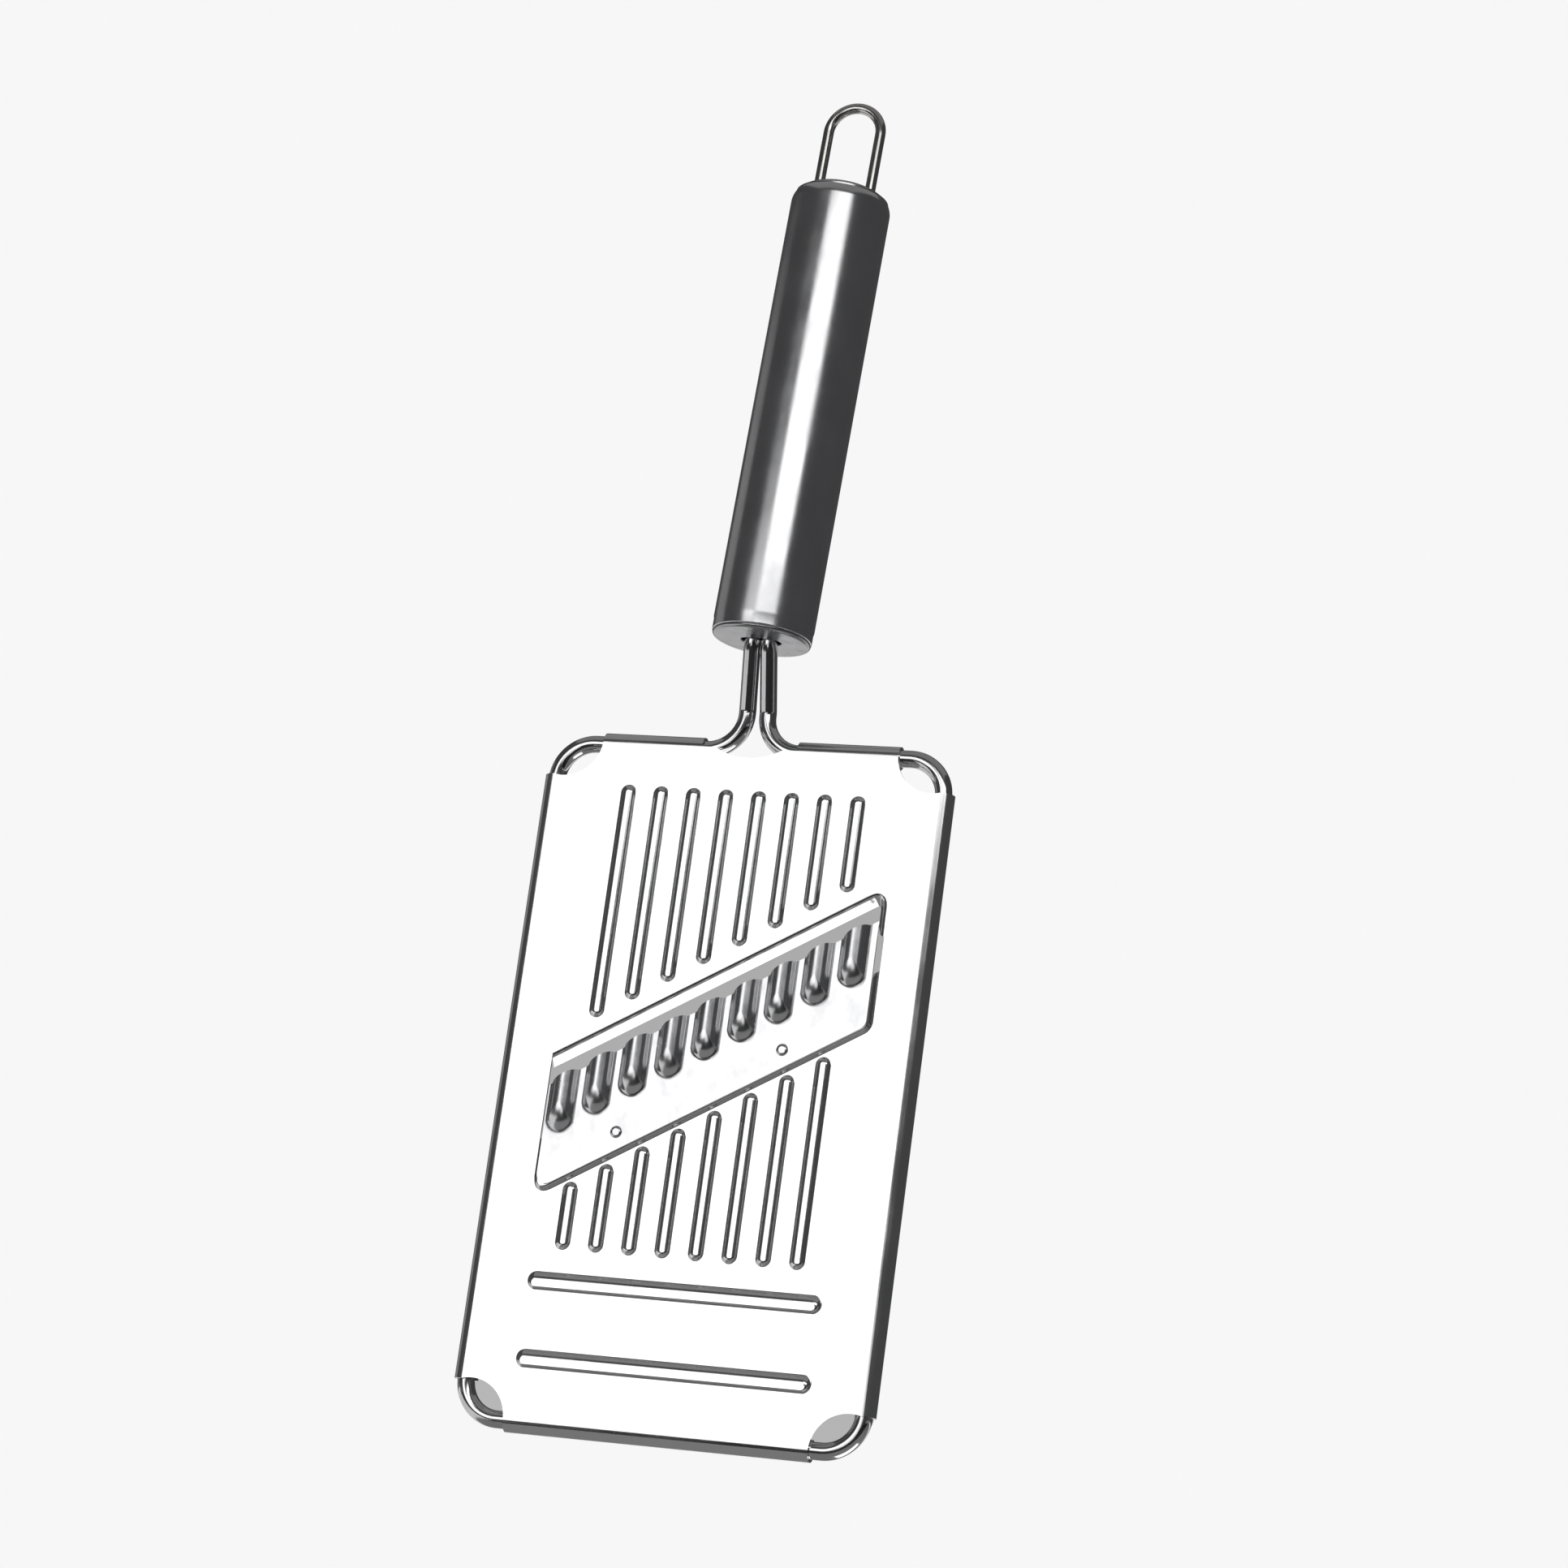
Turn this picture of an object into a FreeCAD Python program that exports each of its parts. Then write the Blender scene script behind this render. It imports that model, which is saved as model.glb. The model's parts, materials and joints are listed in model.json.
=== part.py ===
"""Hand-held wave slicer: stamped plate on a bent wire frame, with a tube handle and a hanging loop.

Plate coordinates are used while building: X across the plate, Y from the food side to the
back, Z from the plate's bottom edge up to the handle, with the frame wire's axis at Y = 0.
Every piece then gets one placement that puts the origin where the loop rests on its hook.
"""
import FreeCAD, Part
import math
import os
import Sketcher

V = FreeCAD.Vector
X_AXIS = V(1, 0, 0)
Y_AXIS = V(0, 1, 0)
Z_AXIS = V(0, 0, 1)

doc = FreeCAD.newDocument("wave_slicer")

# ---------------------------------------------------------------- driving dimensions (mm, deg)
SIZES = {
    "plate_width": 100.0,
    "plate_length": 165.0,
    "sheet_thick": 0.6,
    "wire_dia": 4.0,
    "hem_clearance": 0.1,
    "corner_radius": 8.8,
    "notch_radius": 8.9,
    "notch_side_inset": 5.0,
    "notch_end_inset": 2.4,
    "neck_notch_radius": 16.0,
    "neck_notch_depth": 5.0,
    "rib_pitch": 8.0,
    "rib_width": 4.0,
    "rib_height": 1.0,
    "upper_rib_top": 152.2,
    "upper_rib_gap": 3.0,
    "lower_rib_bottom": 41.8,
    "bar_half_length": 35.2,
    "bar_width": 4.6,
    "bar_height": 1.2,
    "upper_bar_level": 34.6,
    "lower_bar_level": 16.8,
    "blade_angle": 30.5,
    "window_half_width": 37.8,
    "window_top_level": 109.6,
    "window_corner_radius": 3.4,
    "lip_bend_radius": 1.4,
    "lip_angle": 64.0,
    "lip_length": 2.7,
    "side_lip_length": 12.4,
    "seat_bottom_level": 74.8,
    "seat_top_level": 87.5,
    "seat_height": 1.2,
    "seat_wall_run": 1.0,
    "seat_corner_radius": 3.0,
    "blade_thick": 0.5,
    "cutting_level": 99.9,
    "blade_top_inset": 1.5,
    "flute_pitch": 8.1,
    "flute_width": 7.2,
    "flute_height": 2.4,
    "flute_foot_level": 86.8,
    "rivet_spacing": 36.8,
    "rivet_level": 80.5,
    "rivet_head_dia": 2.9,
    "rivet_head_height": 0.45,
    "rivet_edge_radius": 0.4,
    "rivet_tail_dia": 3.2,
    "rivet_shank_dia": 1.4,
    "neck_bend_radius": 8.8,
    "neck_gap": 1.1,
    "neck_forward": 6.8,
    "neck_rise": 16.2,
    "kink_lift": 0.7,
    "return_drop": 1.2,
    "kink_radius": 3.5,
    "neck_return_radius": 9.0,
    "leg_depth": 38.0,
    "leg_clearance": 0.04,
    "handle_tilt": 2.5,
    "handle_dia": 23.8,
    "handle_length": 112.0,
    "handle_wall": 0.8,
    "shoulder_radius": 4.5,
    "rim_radius": 0.5,
    "cap_dia": 23.2,
    "cap_thick": 1.0,
    "cap_skirt": 3.0,
    "cap_edge_radius": 0.7,
    "cap_slot_length": 9.8,
    "cap_slot_width": 5.0,
    "loop_wire_dia": 2.5,
    "loop_leg_spacing": 13.0,
    "loop_height": 23.2,
    "loop_leg_depth": 9.0,
    "weld_throat": 1.1,
    "leg_weld_offset": 1.7,
    "leg_weld_level": 20.0,
    "leg_weld_length": 10.0,
}
RIBS = 8
FLUTES = 9
HEM_LAP = 1.0  # how far each hem's free edge reaches in behind its wire
WALL_DRAFT = 0.25  # share of the sheet's thickness by which the seat's wall is pulled in behind
FLUTE_OVERRUN = 3.0  # flute widths that each flute's rod runs on past the cutting edge
THROUGH = 20.0  # depth of the cutters that go right through the plate
ROOM = 400.0  # side of the blocks that take away everything past a plane
SLACK = 1e-6  # closer than this, two positions count as the same

sheet = doc.addObject("Spreadsheet::Sheet", "sizes")
for row, (alias, value) in enumerate(SIZES.items(), start=1):
    sheet.set(f"A{row}", alias)
    sheet.set(f"B{row}", str(value))
    sheet.setAlias(f"B{row}", alias)
doc.recompute()


def size(alias):
    """The value of one driving dimension, read from the sheet."""
    return float(sheet.get(alias))


def bind(obj, **expressions):
    """Bind properties to sheet expressions; double underscores in a name stand for dots."""
    for name, expression in expressions.items():
        obj.setExpression(name.replace("__", "."), expression)
    return obj


# Lengths that follow from the driving dimensions.
THICK = size("sheet_thick")
WIRE_R = size("wire_dia") / 2
LEG_AXIS = WIRE_R + size("leg_clearance") / 2
HEM_IN = WIRE_R + size("hem_clearance")
HEM_OUT = HEM_IN + THICK
FACE = -HEM_OUT
SLOPE = math.tan(math.radians(size("blade_angle")))
SEAT_FACE = FACE - size("seat_height")
LAND_FACE = SEAT_FACE - size("blade_thick")
KINK_LEVEL = size("plate_length") - HEM_OUT + size("neck_bend_radius") + size("kink_lift")
HEM_EXPR = "(sizes.wire_dia / 2 + sizes.hem_clearance + sizes.sheet_thick)"
HEM_IN_EXPR = "(sizes.wire_dia / 2 + sizes.hem_clearance)"


def oblique(level, x):
    """Height at x of the oblique line that crosses the plate's middle at the given level."""
    return level + SLOPE * x


# ---------------------------------------------------------------- shared shape helpers
def rounded_wire(corners, radii, y):
    """Closed wire in the plane Y = y through (x, z) corners, each rounded by its own radius."""
    points = [V(x, y, z) for x, z in corners]
    rounds = []
    for i, point in enumerate(points):
        before = (points[i - 1] - point).normalize()
        after = (points[(i + 1) % len(points)] - point).normalize()
        half = before.getAngle(after) / 2
        reach = radii[i] / math.tan(half)
        middle = point + (before + after).normalize() * (radii[i] / math.sin(half) - radii[i])
        rounds.append((point + before * reach, middle, point + after * reach))
    edges = []
    for (start, middle, stop), (onward, _, _) in zip(rounds, rounds[1:] + rounds[:1]):
        if start.distanceToPoint(stop) > SLACK:
            edges.append(Part.Arc(start, middle, stop).toShape())
        edges.append(Part.LineSegment(stop, onward).toShape())
    return Part.Wire(edges)


def prism(corners, radii, y0, y1):
    """Solid between Y = y0 and Y = y1 with the given rounded outline."""
    return Part.Face(rounded_wire(corners, radii, y0)).extrude(V(0, y1 - y0, 0))


def capsule(start, stop, radius):
    """Round-ended rod whose tips lie at start and stop."""
    along = (stop - start).normalize()
    side = Y_AXIS
    a = start + along * radius
    b = stop - along * radius
    bow = math.sqrt(0.5) * radius
    profile = Part.Wire([
        Part.LineSegment(stop, start).toShape(),
        Part.Arc(start, a + side * bow - along * bow, a + side * radius).toShape(),
        Part.LineSegment(a + side * radius, b + side * radius).toShape(),
        Part.Arc(b + side * radius, b + side * bow + along * bow, stop).toShape(),
    ])
    return Part.Face(profile).revolve(start, along, 360)


def bead_radius(width, height):
    """Radius of the circle segment with this chord and rise."""
    return ((width / 2) ** 2 + height ** 2) / (2 * height)


def bead(foot, tip, width, height, face, thickness):
    """Outer and inner rods of a raised bead whose outline on the face runs from foot to tip."""
    radius = bead_radius(width, height)
    axis_y = face - height + radius
    along = (V(*tip) - V(*foot)).normalize()
    overrun = along * (radius - width / 2)
    start = V(*foot) - overrun + V(0, axis_y, 0)
    stop = V(*tip) + overrun + V(0, axis_y, 0)
    outer = capsule(start, stop, radius)
    inner = capsule(start + along * thickness, stop - along * thickness, radius - thickness)
    return outer, inner


def front_half(y):
    """Large block that holds everything in front of the plane Y = y."""
    return Part.makeBox(ROOM, ROOM, ROOM, V(-ROOM / 2, y - ROOM, -ROOM / 2))


def bent_path(points, radii):
    """Wire of straight runs joined by tangent arcs; radii belong to the inner points."""
    edges = []
    last = points[0]
    for i, radius in enumerate(radii, start=1):
        before = (points[i - 1] - points[i]).normalize()
        after = (points[i + 1] - points[i]).normalize()
        half = before.getAngle(after) / 2
        reach = radius / math.tan(half)
        start = points[i] + before * reach
        stop = points[i] + after * reach
        middle = points[i] + (before + after).normalize() * (radius / math.sin(half) - radius)
        edges.append(Part.LineSegment(last, start).toShape())
        edges.append(Part.Arc(start, middle, stop).toShape())
        last = stop
    edges.append(Part.LineSegment(last, points[-1]).toShape())
    return Part.Wire(edges)


def round_bar(path, radius):
    """Solid round bar along a path."""
    start = path.Edges[0].valueAt(path.Edges[0].FirstParameter)
    heading = path.Edges[0].tangentAt(path.Edges[0].FirstParameter)
    section = Part.Wire(Part.makeCircle(radius, start, heading))
    return path.makePipeShell([section], True, False)


# ---------------------------------------------------------------- slicer plate
def plate_blank():
    """Flat middle of the sheet, between the axes of the four hems."""
    flat = doc.addObject("Part::Box", "plate_flat")
    bind(flat,
         Length=f"sizes.plate_width - 2 * {HEM_EXPR}",
         Width="sizes.sheet_thick",
         Height=f"sizes.plate_length - 2 * {HEM_EXPR}",
         Placement__Base__x=f"-sizes.plate_width / 2 + {HEM_EXPR}",
         Placement__Base__y=f"-{HEM_EXPR}",
         Placement__Base__z=HEM_EXPR)
    return flat


def hem(name, turn, length, base_x, base_z):
    """Rolled edge round the wire; turn stands the roll's length along the edge it borders."""
    outer = doc.addObject("Part::Cylinder", f"{name}_outer")
    bind(outer, Radius=HEM_EXPR, Height=length)
    inner = doc.addObject("Part::Cylinder", f"{name}_inner")
    bind(inner, Radius=HEM_IN_EXPR, Height=length)
    mouth = doc.addObject("Part::Box", f"{name}_mouth")
    bind(mouth, Length="2 * sizes.wire_dia", Height=length,
         Width=f"2 * sizes.wire_dia + {HEM_LAP}",
         Placement__Base__y="-2 * sizes.wire_dia",
         Placement__Base__x="-2 * sizes.wire_dia")
    bore = doc.addObject("Part::MultiFuse", f"{name}_bore")
    bore.Shapes = [inner, mouth]
    roll = doc.addObject("Part::Cut", name)
    roll.Base = outer
    roll.Tool = bore
    roll.Placement.Rotation = turn
    bind(roll, Placement__Base__x=base_x, Placement__Base__z=base_z)
    return roll


def plate_hems():
    """Side hems, bottom hem and the two top hems beside the neck."""
    side = f"sizes.plate_width / 2 - {HEM_EXPR}"
    end = f"sizes.plate_length - {HEM_EXPR}"
    side_run = "sizes.plate_length - 2 * (sizes.notch_end_inset + sizes.notch_radius)"
    side_foot = "sizes.notch_end_inset + sizes.notch_radius"
    notch_x = "(sizes.plate_width / 2 - sizes.notch_side_inset - sizes.notch_radius)"
    neck_x = "sqrt(sizes.neck_notch_depth * (2 * sizes.neck_notch_radius - sizes.neck_notch_depth))"
    upright = FreeCAD.Rotation()
    to_bottom = FreeCAD.Rotation(Y_AXIS, 90)
    to_top = FreeCAD.Rotation(Y_AXIS, -90)
    mirror = FreeCAD.Rotation(Y_AXIS, 180)
    return [
        hem("hem_right", upright, side_run, side, side_foot),
        hem("hem_left", mirror, side_run, f"-({side})", f"sizes.plate_length - ({side_foot})"),
        hem("hem_bottom", to_bottom, f"2 * {notch_x}", f"-{notch_x}", HEM_EXPR),
        hem("hem_top_left", to_top, f"{notch_x} - {neck_x}", f"-{neck_x}", end),
        hem("hem_top_right", to_top, f"{notch_x} - {neck_x}", notch_x, end),
    ]


def disc_cutter(name, radius, x, z):
    """Cylinder across the sheet that cuts a round notch."""
    disc = doc.addObject("Part::Cylinder", name)
    disc.Placement.Rotation = FreeCAD.Rotation(X_AXIS, -90)
    bind(disc, Radius=radius, Placement__Base__x=x, Placement__Base__z=z)
    disc.Height = THROUGH
    disc.Placement.Base.y = -THROUGH / 2
    return disc


def block_cutter(name, x, z, width, height):
    """Box across the sheet that squares off the blank outside a round notch."""
    block = doc.addObject("Part::Box", name)
    bind(block, Length=width, Height=height, Placement__Base__x=x, Placement__Base__z=z)
    block.Width = THROUGH
    block.Placement.Base.y = -THROUGH / 2
    return block


def corner_notches():
    """Notches that bare the wire at the four corners and at the neck."""
    across = "sizes.plate_width / 2 - sizes.notch_side_inset"
    inner = f"({across} - sizes.notch_radius)"
    reach = "(sizes.notch_end_inset + sizes.notch_radius)"
    cutters = []
    for side, sign in (("left", "-"), ("right", "")):
        edge_x = "-sizes.plate_width / 2" if sign else across
        long_x = "-sizes.plate_width / 2" if sign else inner
        for end in ("bottom", "top"):
            low = end == "bottom"
            centre_z = "sizes.notch_end_inset" if low else "sizes.plate_length - sizes.notch_end_inset"
            edge_z = "0" if low else f"sizes.plate_length - {reach}"
            strip_z = "0" if low else "sizes.plate_length - sizes.notch_end_inset"
            name = f"notch_{end}_{side}"
            cutters.append(disc_cutter(name, "sizes.notch_radius", f"{sign}({across})", centre_z))
            cutters.append(block_cutter(f"{name}_side", edge_x, edge_z, "sizes.notch_side_inset", reach))
            cutters.append(block_cutter(f"{name}_end", long_x, strip_z,
                                        "sizes.notch_side_inset + sizes.notch_radius",
                                        "sizes.notch_end_inset"))
    neck_z = "sizes.plate_length + sizes.neck_notch_radius - sizes.neck_notch_depth"
    cutters.append(disc_cutter("neck_notch", "sizes.neck_notch_radius", "0", neck_z))
    return cutters


def rib_columns():
    """X of each rib, evenly spaced about the plate's middle."""
    return [size("rib_pitch") * (i - (RIBS - 1) / 2) for i in range(RIBS)]


def rib_beads():
    """Outer and inner rods of every pressed rib and bar."""
    width, height = size("rib_width"), size("rib_height")
    rods = []
    for x in rib_columns():
        foot_z = oblique(size("window_top_level") + size("upper_rib_gap"), x)
        rods.append(bead((x, 0, foot_z), (x, 0, size("upper_rib_top")), width, height, FACE, THICK))
        seat_z = oblique(size("seat_bottom_level"), x)
        rods.append(bead((x, 0, size("lower_rib_bottom")), (x, 0, seat_z + width / 2),
                         width, height, FACE, THICK))
    reach = size("bar_half_length")
    for level in (size("upper_bar_level"), size("lower_bar_level")):
        rods.append(bead((-reach, 0, level), (reach, 0, level),
                         size("bar_width"), size("bar_height"), FACE, THICK))
    return rods


def seat_outline(inset, top_level, y):
    """Outline of the raised blade seat, pulled in on its three walled sides."""
    half = size("window_half_width") - inset
    foot = size("seat_bottom_level") + inset / math.cos(math.radians(size("blade_angle")))
    corners = [(-half, oblique(foot, -half)), (half, oblique(foot, half)),
               (half, oblique(top_level, half)), (-half, oblique(top_level, -half))]
    radius = size("seat_corner_radius") - inset / 2
    return rounded_wire(corners, [radius, radius, 0, 0], y)


def seat_form(inset, shift, depth):
    """Loft from the plate's face up to the seat, moved back by shift, with a block behind it."""
    top = size("window_top_level")
    run, rise = size("seat_wall_run"), size("seat_height")
    base = seat_outline(inset, top, FACE + shift)
    crown = seat_outline(inset + run, top, FACE - rise + shift)
    return Part.makeLoft([base, crown], True, True).fuse(Part.Face(base).extrude(V(0, depth, 0)))


def window_cutter():
    """Opening between the seat's upper edge and the oblique upper edge of the window."""
    half = size("window_half_width")
    low, high = size("seat_top_level"), size("window_top_level")
    corners = [(-half, oblique(low, -half)), (half, oblique(low, half)),
               (half, oblique(high, half)), (-half, oblique(high, -half))]
    return prism(corners, [0, 0, size("window_corner_radius"), 0], FACE - THROUGH, FACE + THROUGH)


def window_lip():
    """Strip bent back from the window's upper edge, round its corner and down its right side."""
    half, top = size("window_half_width"), size("window_top_level")
    corner = V(half, 0, oblique(top, half))
    start = V(-half, 0, oblique(top, -half))
    path = bent_path([start, corner, corner - Z_AXIS * size("side_lip_length")],
                     [size("window_corner_radius")])
    along = (corner - start).normalize()
    down = V(along.z, 0, -along.x)
    bend, angle = size("lip_bend_radius"), math.radians(size("lip_angle"))

    def at(radius, turn, run):
        """Point of the section: round the bend by turn, then straight on by run."""
        over = radius * math.sin(turn) + run * math.cos(turn)
        back = bend - radius * math.cos(turn) + run * math.sin(turn)
        return start + down * over + V(0, FACE + back, 0)

    inner_bend = bend - THICK
    run = size("lip_length")
    section = Part.Wire([
        Part.Arc(at(bend, 0, 0), at(bend, angle / 2, 0), at(bend, angle, 0)).toShape(),
        Part.LineSegment(at(bend, angle, 0), at(bend, angle, run)).toShape(),
        Part.LineSegment(at(bend, angle, run), at(inner_bend, angle, run)).toShape(),
        Part.LineSegment(at(inner_bend, angle, run), at(inner_bend, angle, 0)).toShape(),
        Part.Arc(at(inner_bend, angle, 0), at(inner_bend, angle / 2, 0), at(inner_bend, 0, 0)).toShape(),
        Part.LineSegment(at(inner_bend, 0, 0), at(bend, 0, 0)).toShape(),
    ])
    strip = path.makePipeShell([section], True, False)
    beyond = Part.makeBox(ROOM, ROOM, ROOM, V(-half - ROOM, -ROOM / 2, -ROOM / 2))
    return strip.cut(beyond)


def rivet_points():
    """Middle of each rivet on the seat, as (x, z)."""
    half = size("rivet_spacing") / 2
    return [(x, oblique(size("rivet_level"), x)) for x in (-half, half)]


def rivet_bores():
    """Shank holes through the seat and the blade."""
    radius = size("rivet_shank_dia") / 2
    return [Part.makeCylinder(radius, THROUGH, V(x, FACE - THROUGH / 2, z), Y_AXIS)
            for x, z in rivet_points()]


def plate_forms():
    """Everything pressed out of the sheet, as one raised shape and one recess from behind."""
    rods = rib_beads()
    beads = [outer.common(front_half(FACE + THICK)) for outer, _ in rods]
    raised = seat_form(0, 0, THICK).fuse(beads)
    hollow = seat_form(THICK * WALL_DRAFT, THICK, THROUGH).fuse([inner for _, inner in rods])
    hollow = hollow.fuse([window_cutter()] + rivet_bores())
    return raised, hollow


def build_plate():
    """Blank and hems, plus the raised forms, less the recesses and notches, plus the lip."""
    raised_shape, hollow_shape = plate_forms()
    raised = doc.addObject("Part::Feature", "raised_forms")
    raised.Shape = raised_shape
    hollow = doc.addObject("Part::Feature", "pressed_hollows")
    hollow.Shape = hollow_shape
    lip = doc.addObject("Part::Feature", "window_lip")
    lip.Shape = window_lip()
    body = doc.addObject("Part::MultiFuse", "plate_body")
    body.Shapes = [plate_blank(), raised] + plate_hems()
    cutters = doc.addObject("Part::MultiFuse", "plate_cutters")
    cutters.Shapes = corner_notches() + [hollow]
    trimmed = doc.addObject("Part::Cut", "plate_trimmed")
    trimmed.Base = body
    trimmed.Tool = cutters
    plate = doc.addObject("Part::MultiFuse", "slicer_plate")
    plate.Shapes = [trimmed, lip]
    return plate


# ---------------------------------------------------------------- wave blade and its rivets
def flute_columns():
    """X of each flute, evenly spaced about the plate's middle."""
    return [size("flute_pitch") * (i - (FLUTES - 1) / 2) for i in range(FLUTES)]


def blade_corners():
    """Blade outline: the seat's crown below, leaning in towards the cutting edge above."""
    half = size("window_half_width") - size("seat_wall_run")
    top = half - size("blade_top_inset")
    foot = size("seat_bottom_level") + size("seat_wall_run") / math.cos(math.radians(size("blade_angle")))
    return [(-half, oblique(foot, -half)), (half, oblique(foot, half)),
            (half, oblique(size("seat_top_level"), half)), (top, oblique(size("cutting_level"), top)),
            (-top, oblique(size("cutting_level"), -top)), (-half, oblique(size("seat_top_level"), -half))]


def build_blade():
    """Flat blade riveted on the seat, with convex flutes that run out over its cutting edge."""
    radius = size("seat_corner_radius") - size("seat_wall_run") / 2
    radii = [radius, radius, 0, 0, 0, 0]
    flat = prism(blade_corners(), radii, LAND_FACE, SEAT_FACE)
    envelope = prism(blade_corners(), radii, LAND_FACE - 2 * size("flute_height"), SEAT_FACE)
    outers = []
    inners = []
    width, height, thickness = size("flute_width"), size("flute_height"), size("blade_thick")
    for x in flute_columns():
        foot_z = oblique(size("flute_foot_level"), x)
        tip_z = oblique(size("cutting_level"), x) + FLUTE_OVERRUN * width
        outer, inner = bead((x, 0, foot_z), (x, 0, tip_z), width, height, LAND_FACE, thickness)
        outers.append(outer.common(envelope))
        inners.append(inner)
    blade = doc.addObject("Part::Feature", "wave_blade")
    blade.Shape = flat.fuse(outers).cut(inners + rivet_bores()).removeSplitter()
    return blade


def origin_sketch(body, name, plane):
    """Empty sketch on one of its body's origin planes."""
    sketch = body.newObject("Sketcher::SketchObject", name)
    origin = next(o for o in body.Origin.OriginFeatures if o.Role == plane)
    sketch.AttachmentSupport = [(origin, "")]
    sketch.MapMode = "FlatFace"
    return sketch


def drive(sketch, constraint, expression):
    """Add a dimension to a sketch and bind it to the sheet."""
    index = sketch.addConstraint(constraint)
    sketch.setExpression(f"Constraints[{index}]", expression)


def circle_sketch(body, name, radius, x="0", level="0"):
    """Sketch of one circle centred on the body's X axis, lifted to a level, bound to the sheet."""
    sketch = origin_sketch(body, name, "XY_Plane")
    first_x, first_radius = 0.1, 1.0
    sketch.addGeometry(Part.Circle(V(first_x, 0, 0), Z_AXIS, first_radius), False)
    sketch.addConstraint(Sketcher.Constraint("PointOnObject", 0, 3, -1))
    drive(sketch, Sketcher.Constraint("Radius", 0, first_radius), radius)
    drive(sketch, Sketcher.Constraint("DistanceX", -1, 1, 0, 3, first_x), x)
    sketch.setExpression("AttachmentOffset.Base.z", level)
    return sketch


def pad(body, name, sketch, length, reverse=False):
    """Pad of a sketch by a bound length."""
    feature = body.newObject("PartDesign::Pad", name)
    feature.Profile = sketch
    feature.Reversed = reverse
    bind(feature, Length=length)
    return feature


def round_edges(body, name, base, level, radius):
    """Fillet on the outermost edge of the base feature that lies at one height."""
    doc.recompute()
    rims = [(edge.BoundBox.XLength, f"Edge{i}") for i, edge in enumerate(base.Shape.Edges, start=1)
            if abs(edge.BoundBox.ZMax - level) < SLACK and abs(edge.BoundBox.ZMin - level) < SLACK]
    fillet = body.newObject("PartDesign::Fillet", name)
    fillet.Base = (base, [max(rims)[1]])
    bind(fillet, Radius=radius)
    body.Tip = fillet
    return fillet


def pocket(body, name, sketch, length):
    """Pocket of a sketch, cut upwards from its plane by a bound length."""
    feature = body.newObject("PartDesign::Pocket", name)
    feature.Profile = sketch
    feature.Reversed = True
    bind(feature, Length=length)
    body.Tip = feature
    return feature


def build_rivet(side, point):
    """Rivet with a low round head on the blade and a formed head behind the seat."""
    body = doc.addObject("PartDesign::Body", f"blade_rivet_{side}")
    grip = "(sizes.blade_thick + sizes.sheet_thick)"
    shank = circle_sketch(body, f"rivet_{side}_shank", "sizes.rivet_shank_dia / 2")
    pad(body, f"rivet_{side}_grip", shank, grip)
    tail = circle_sketch(body, f"rivet_{side}_tail", "sizes.rivet_tail_dia / 2", level=grip)
    pad(body, f"rivet_{side}_formed_head", tail, "sizes.rivet_head_height")
    head = circle_sketch(body, f"rivet_{side}_head", "sizes.rivet_head_dia / 2")
    crown = pad(body, f"rivet_{side}_crown", head, "sizes.rivet_head_height", True)
    round_edges(body, f"rivet_{side}_round", crown, -size("rivet_head_height"),
                "sizes.rivet_edge_radius")
    x, z = point
    body.Placement = FreeCAD.Placement(V(x, LAND_FACE, z), FreeCAD.Rotation(X_AXIS, -90))
    return body


# ---------------------------------------------------------------- wire frame
def handle_placement():
    """Where the handle's own axes stand: base centre in front of the kink, leaning by the tilt."""
    turn = FreeCAD.Rotation(Y_AXIS, size("handle_tilt"))
    offset = V(0, -size("neck_forward"), size("neck_rise"))
    return FreeCAD.Placement(V(0, 0, KINK_LEVEL) + turn.multVec(offset), turn)


def build_frame_wire():
    """One wire round the plate whose two ends meet, rise, step forward and run into the handle."""
    side = size("plate_width") / 2 - HEM_OUT
    top = size("plate_length") - HEM_OUT
    spread = WIRE_R + size("neck_gap") / 2
    turn = FreeCAD.Rotation(Y_AXIS, size("handle_tilt"))
    kink = V(0, 0, KINK_LEVEL)
    forward, rise = size("neck_forward"), size("neck_rise")

    def leg(sign):
        """Points of one leg from its free end in the handle down to the plate's top edge."""
        bends = [V(sign * LEG_AXIS, -forward, rise + size("leg_depth")),
                 V(sign * LEG_AXIS, -forward, rise - size("return_drop")),
                 V(sign * spread, 0, 0)]
        return [kink + turn.multVec(p) for p in bends] + [V(sign * spread, 0, top)]

    points = leg(-1) + [V(-side, 0, top), V(-side, 0, HEM_OUT), V(side, 0, HEM_OUT), V(side, 0, top)]
    points += leg(1)[::-1]
    ends = [size("neck_return_radius"), size("kink_radius"), size("neck_bend_radius")]
    path = bent_path(points, ends + [size("corner_radius")] * 4 + ends[::-1])
    wire = doc.addObject("Part::Feature", "frame_wire")
    wire.Shape = round_bar(path, WIRE_R)
    return wire


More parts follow.
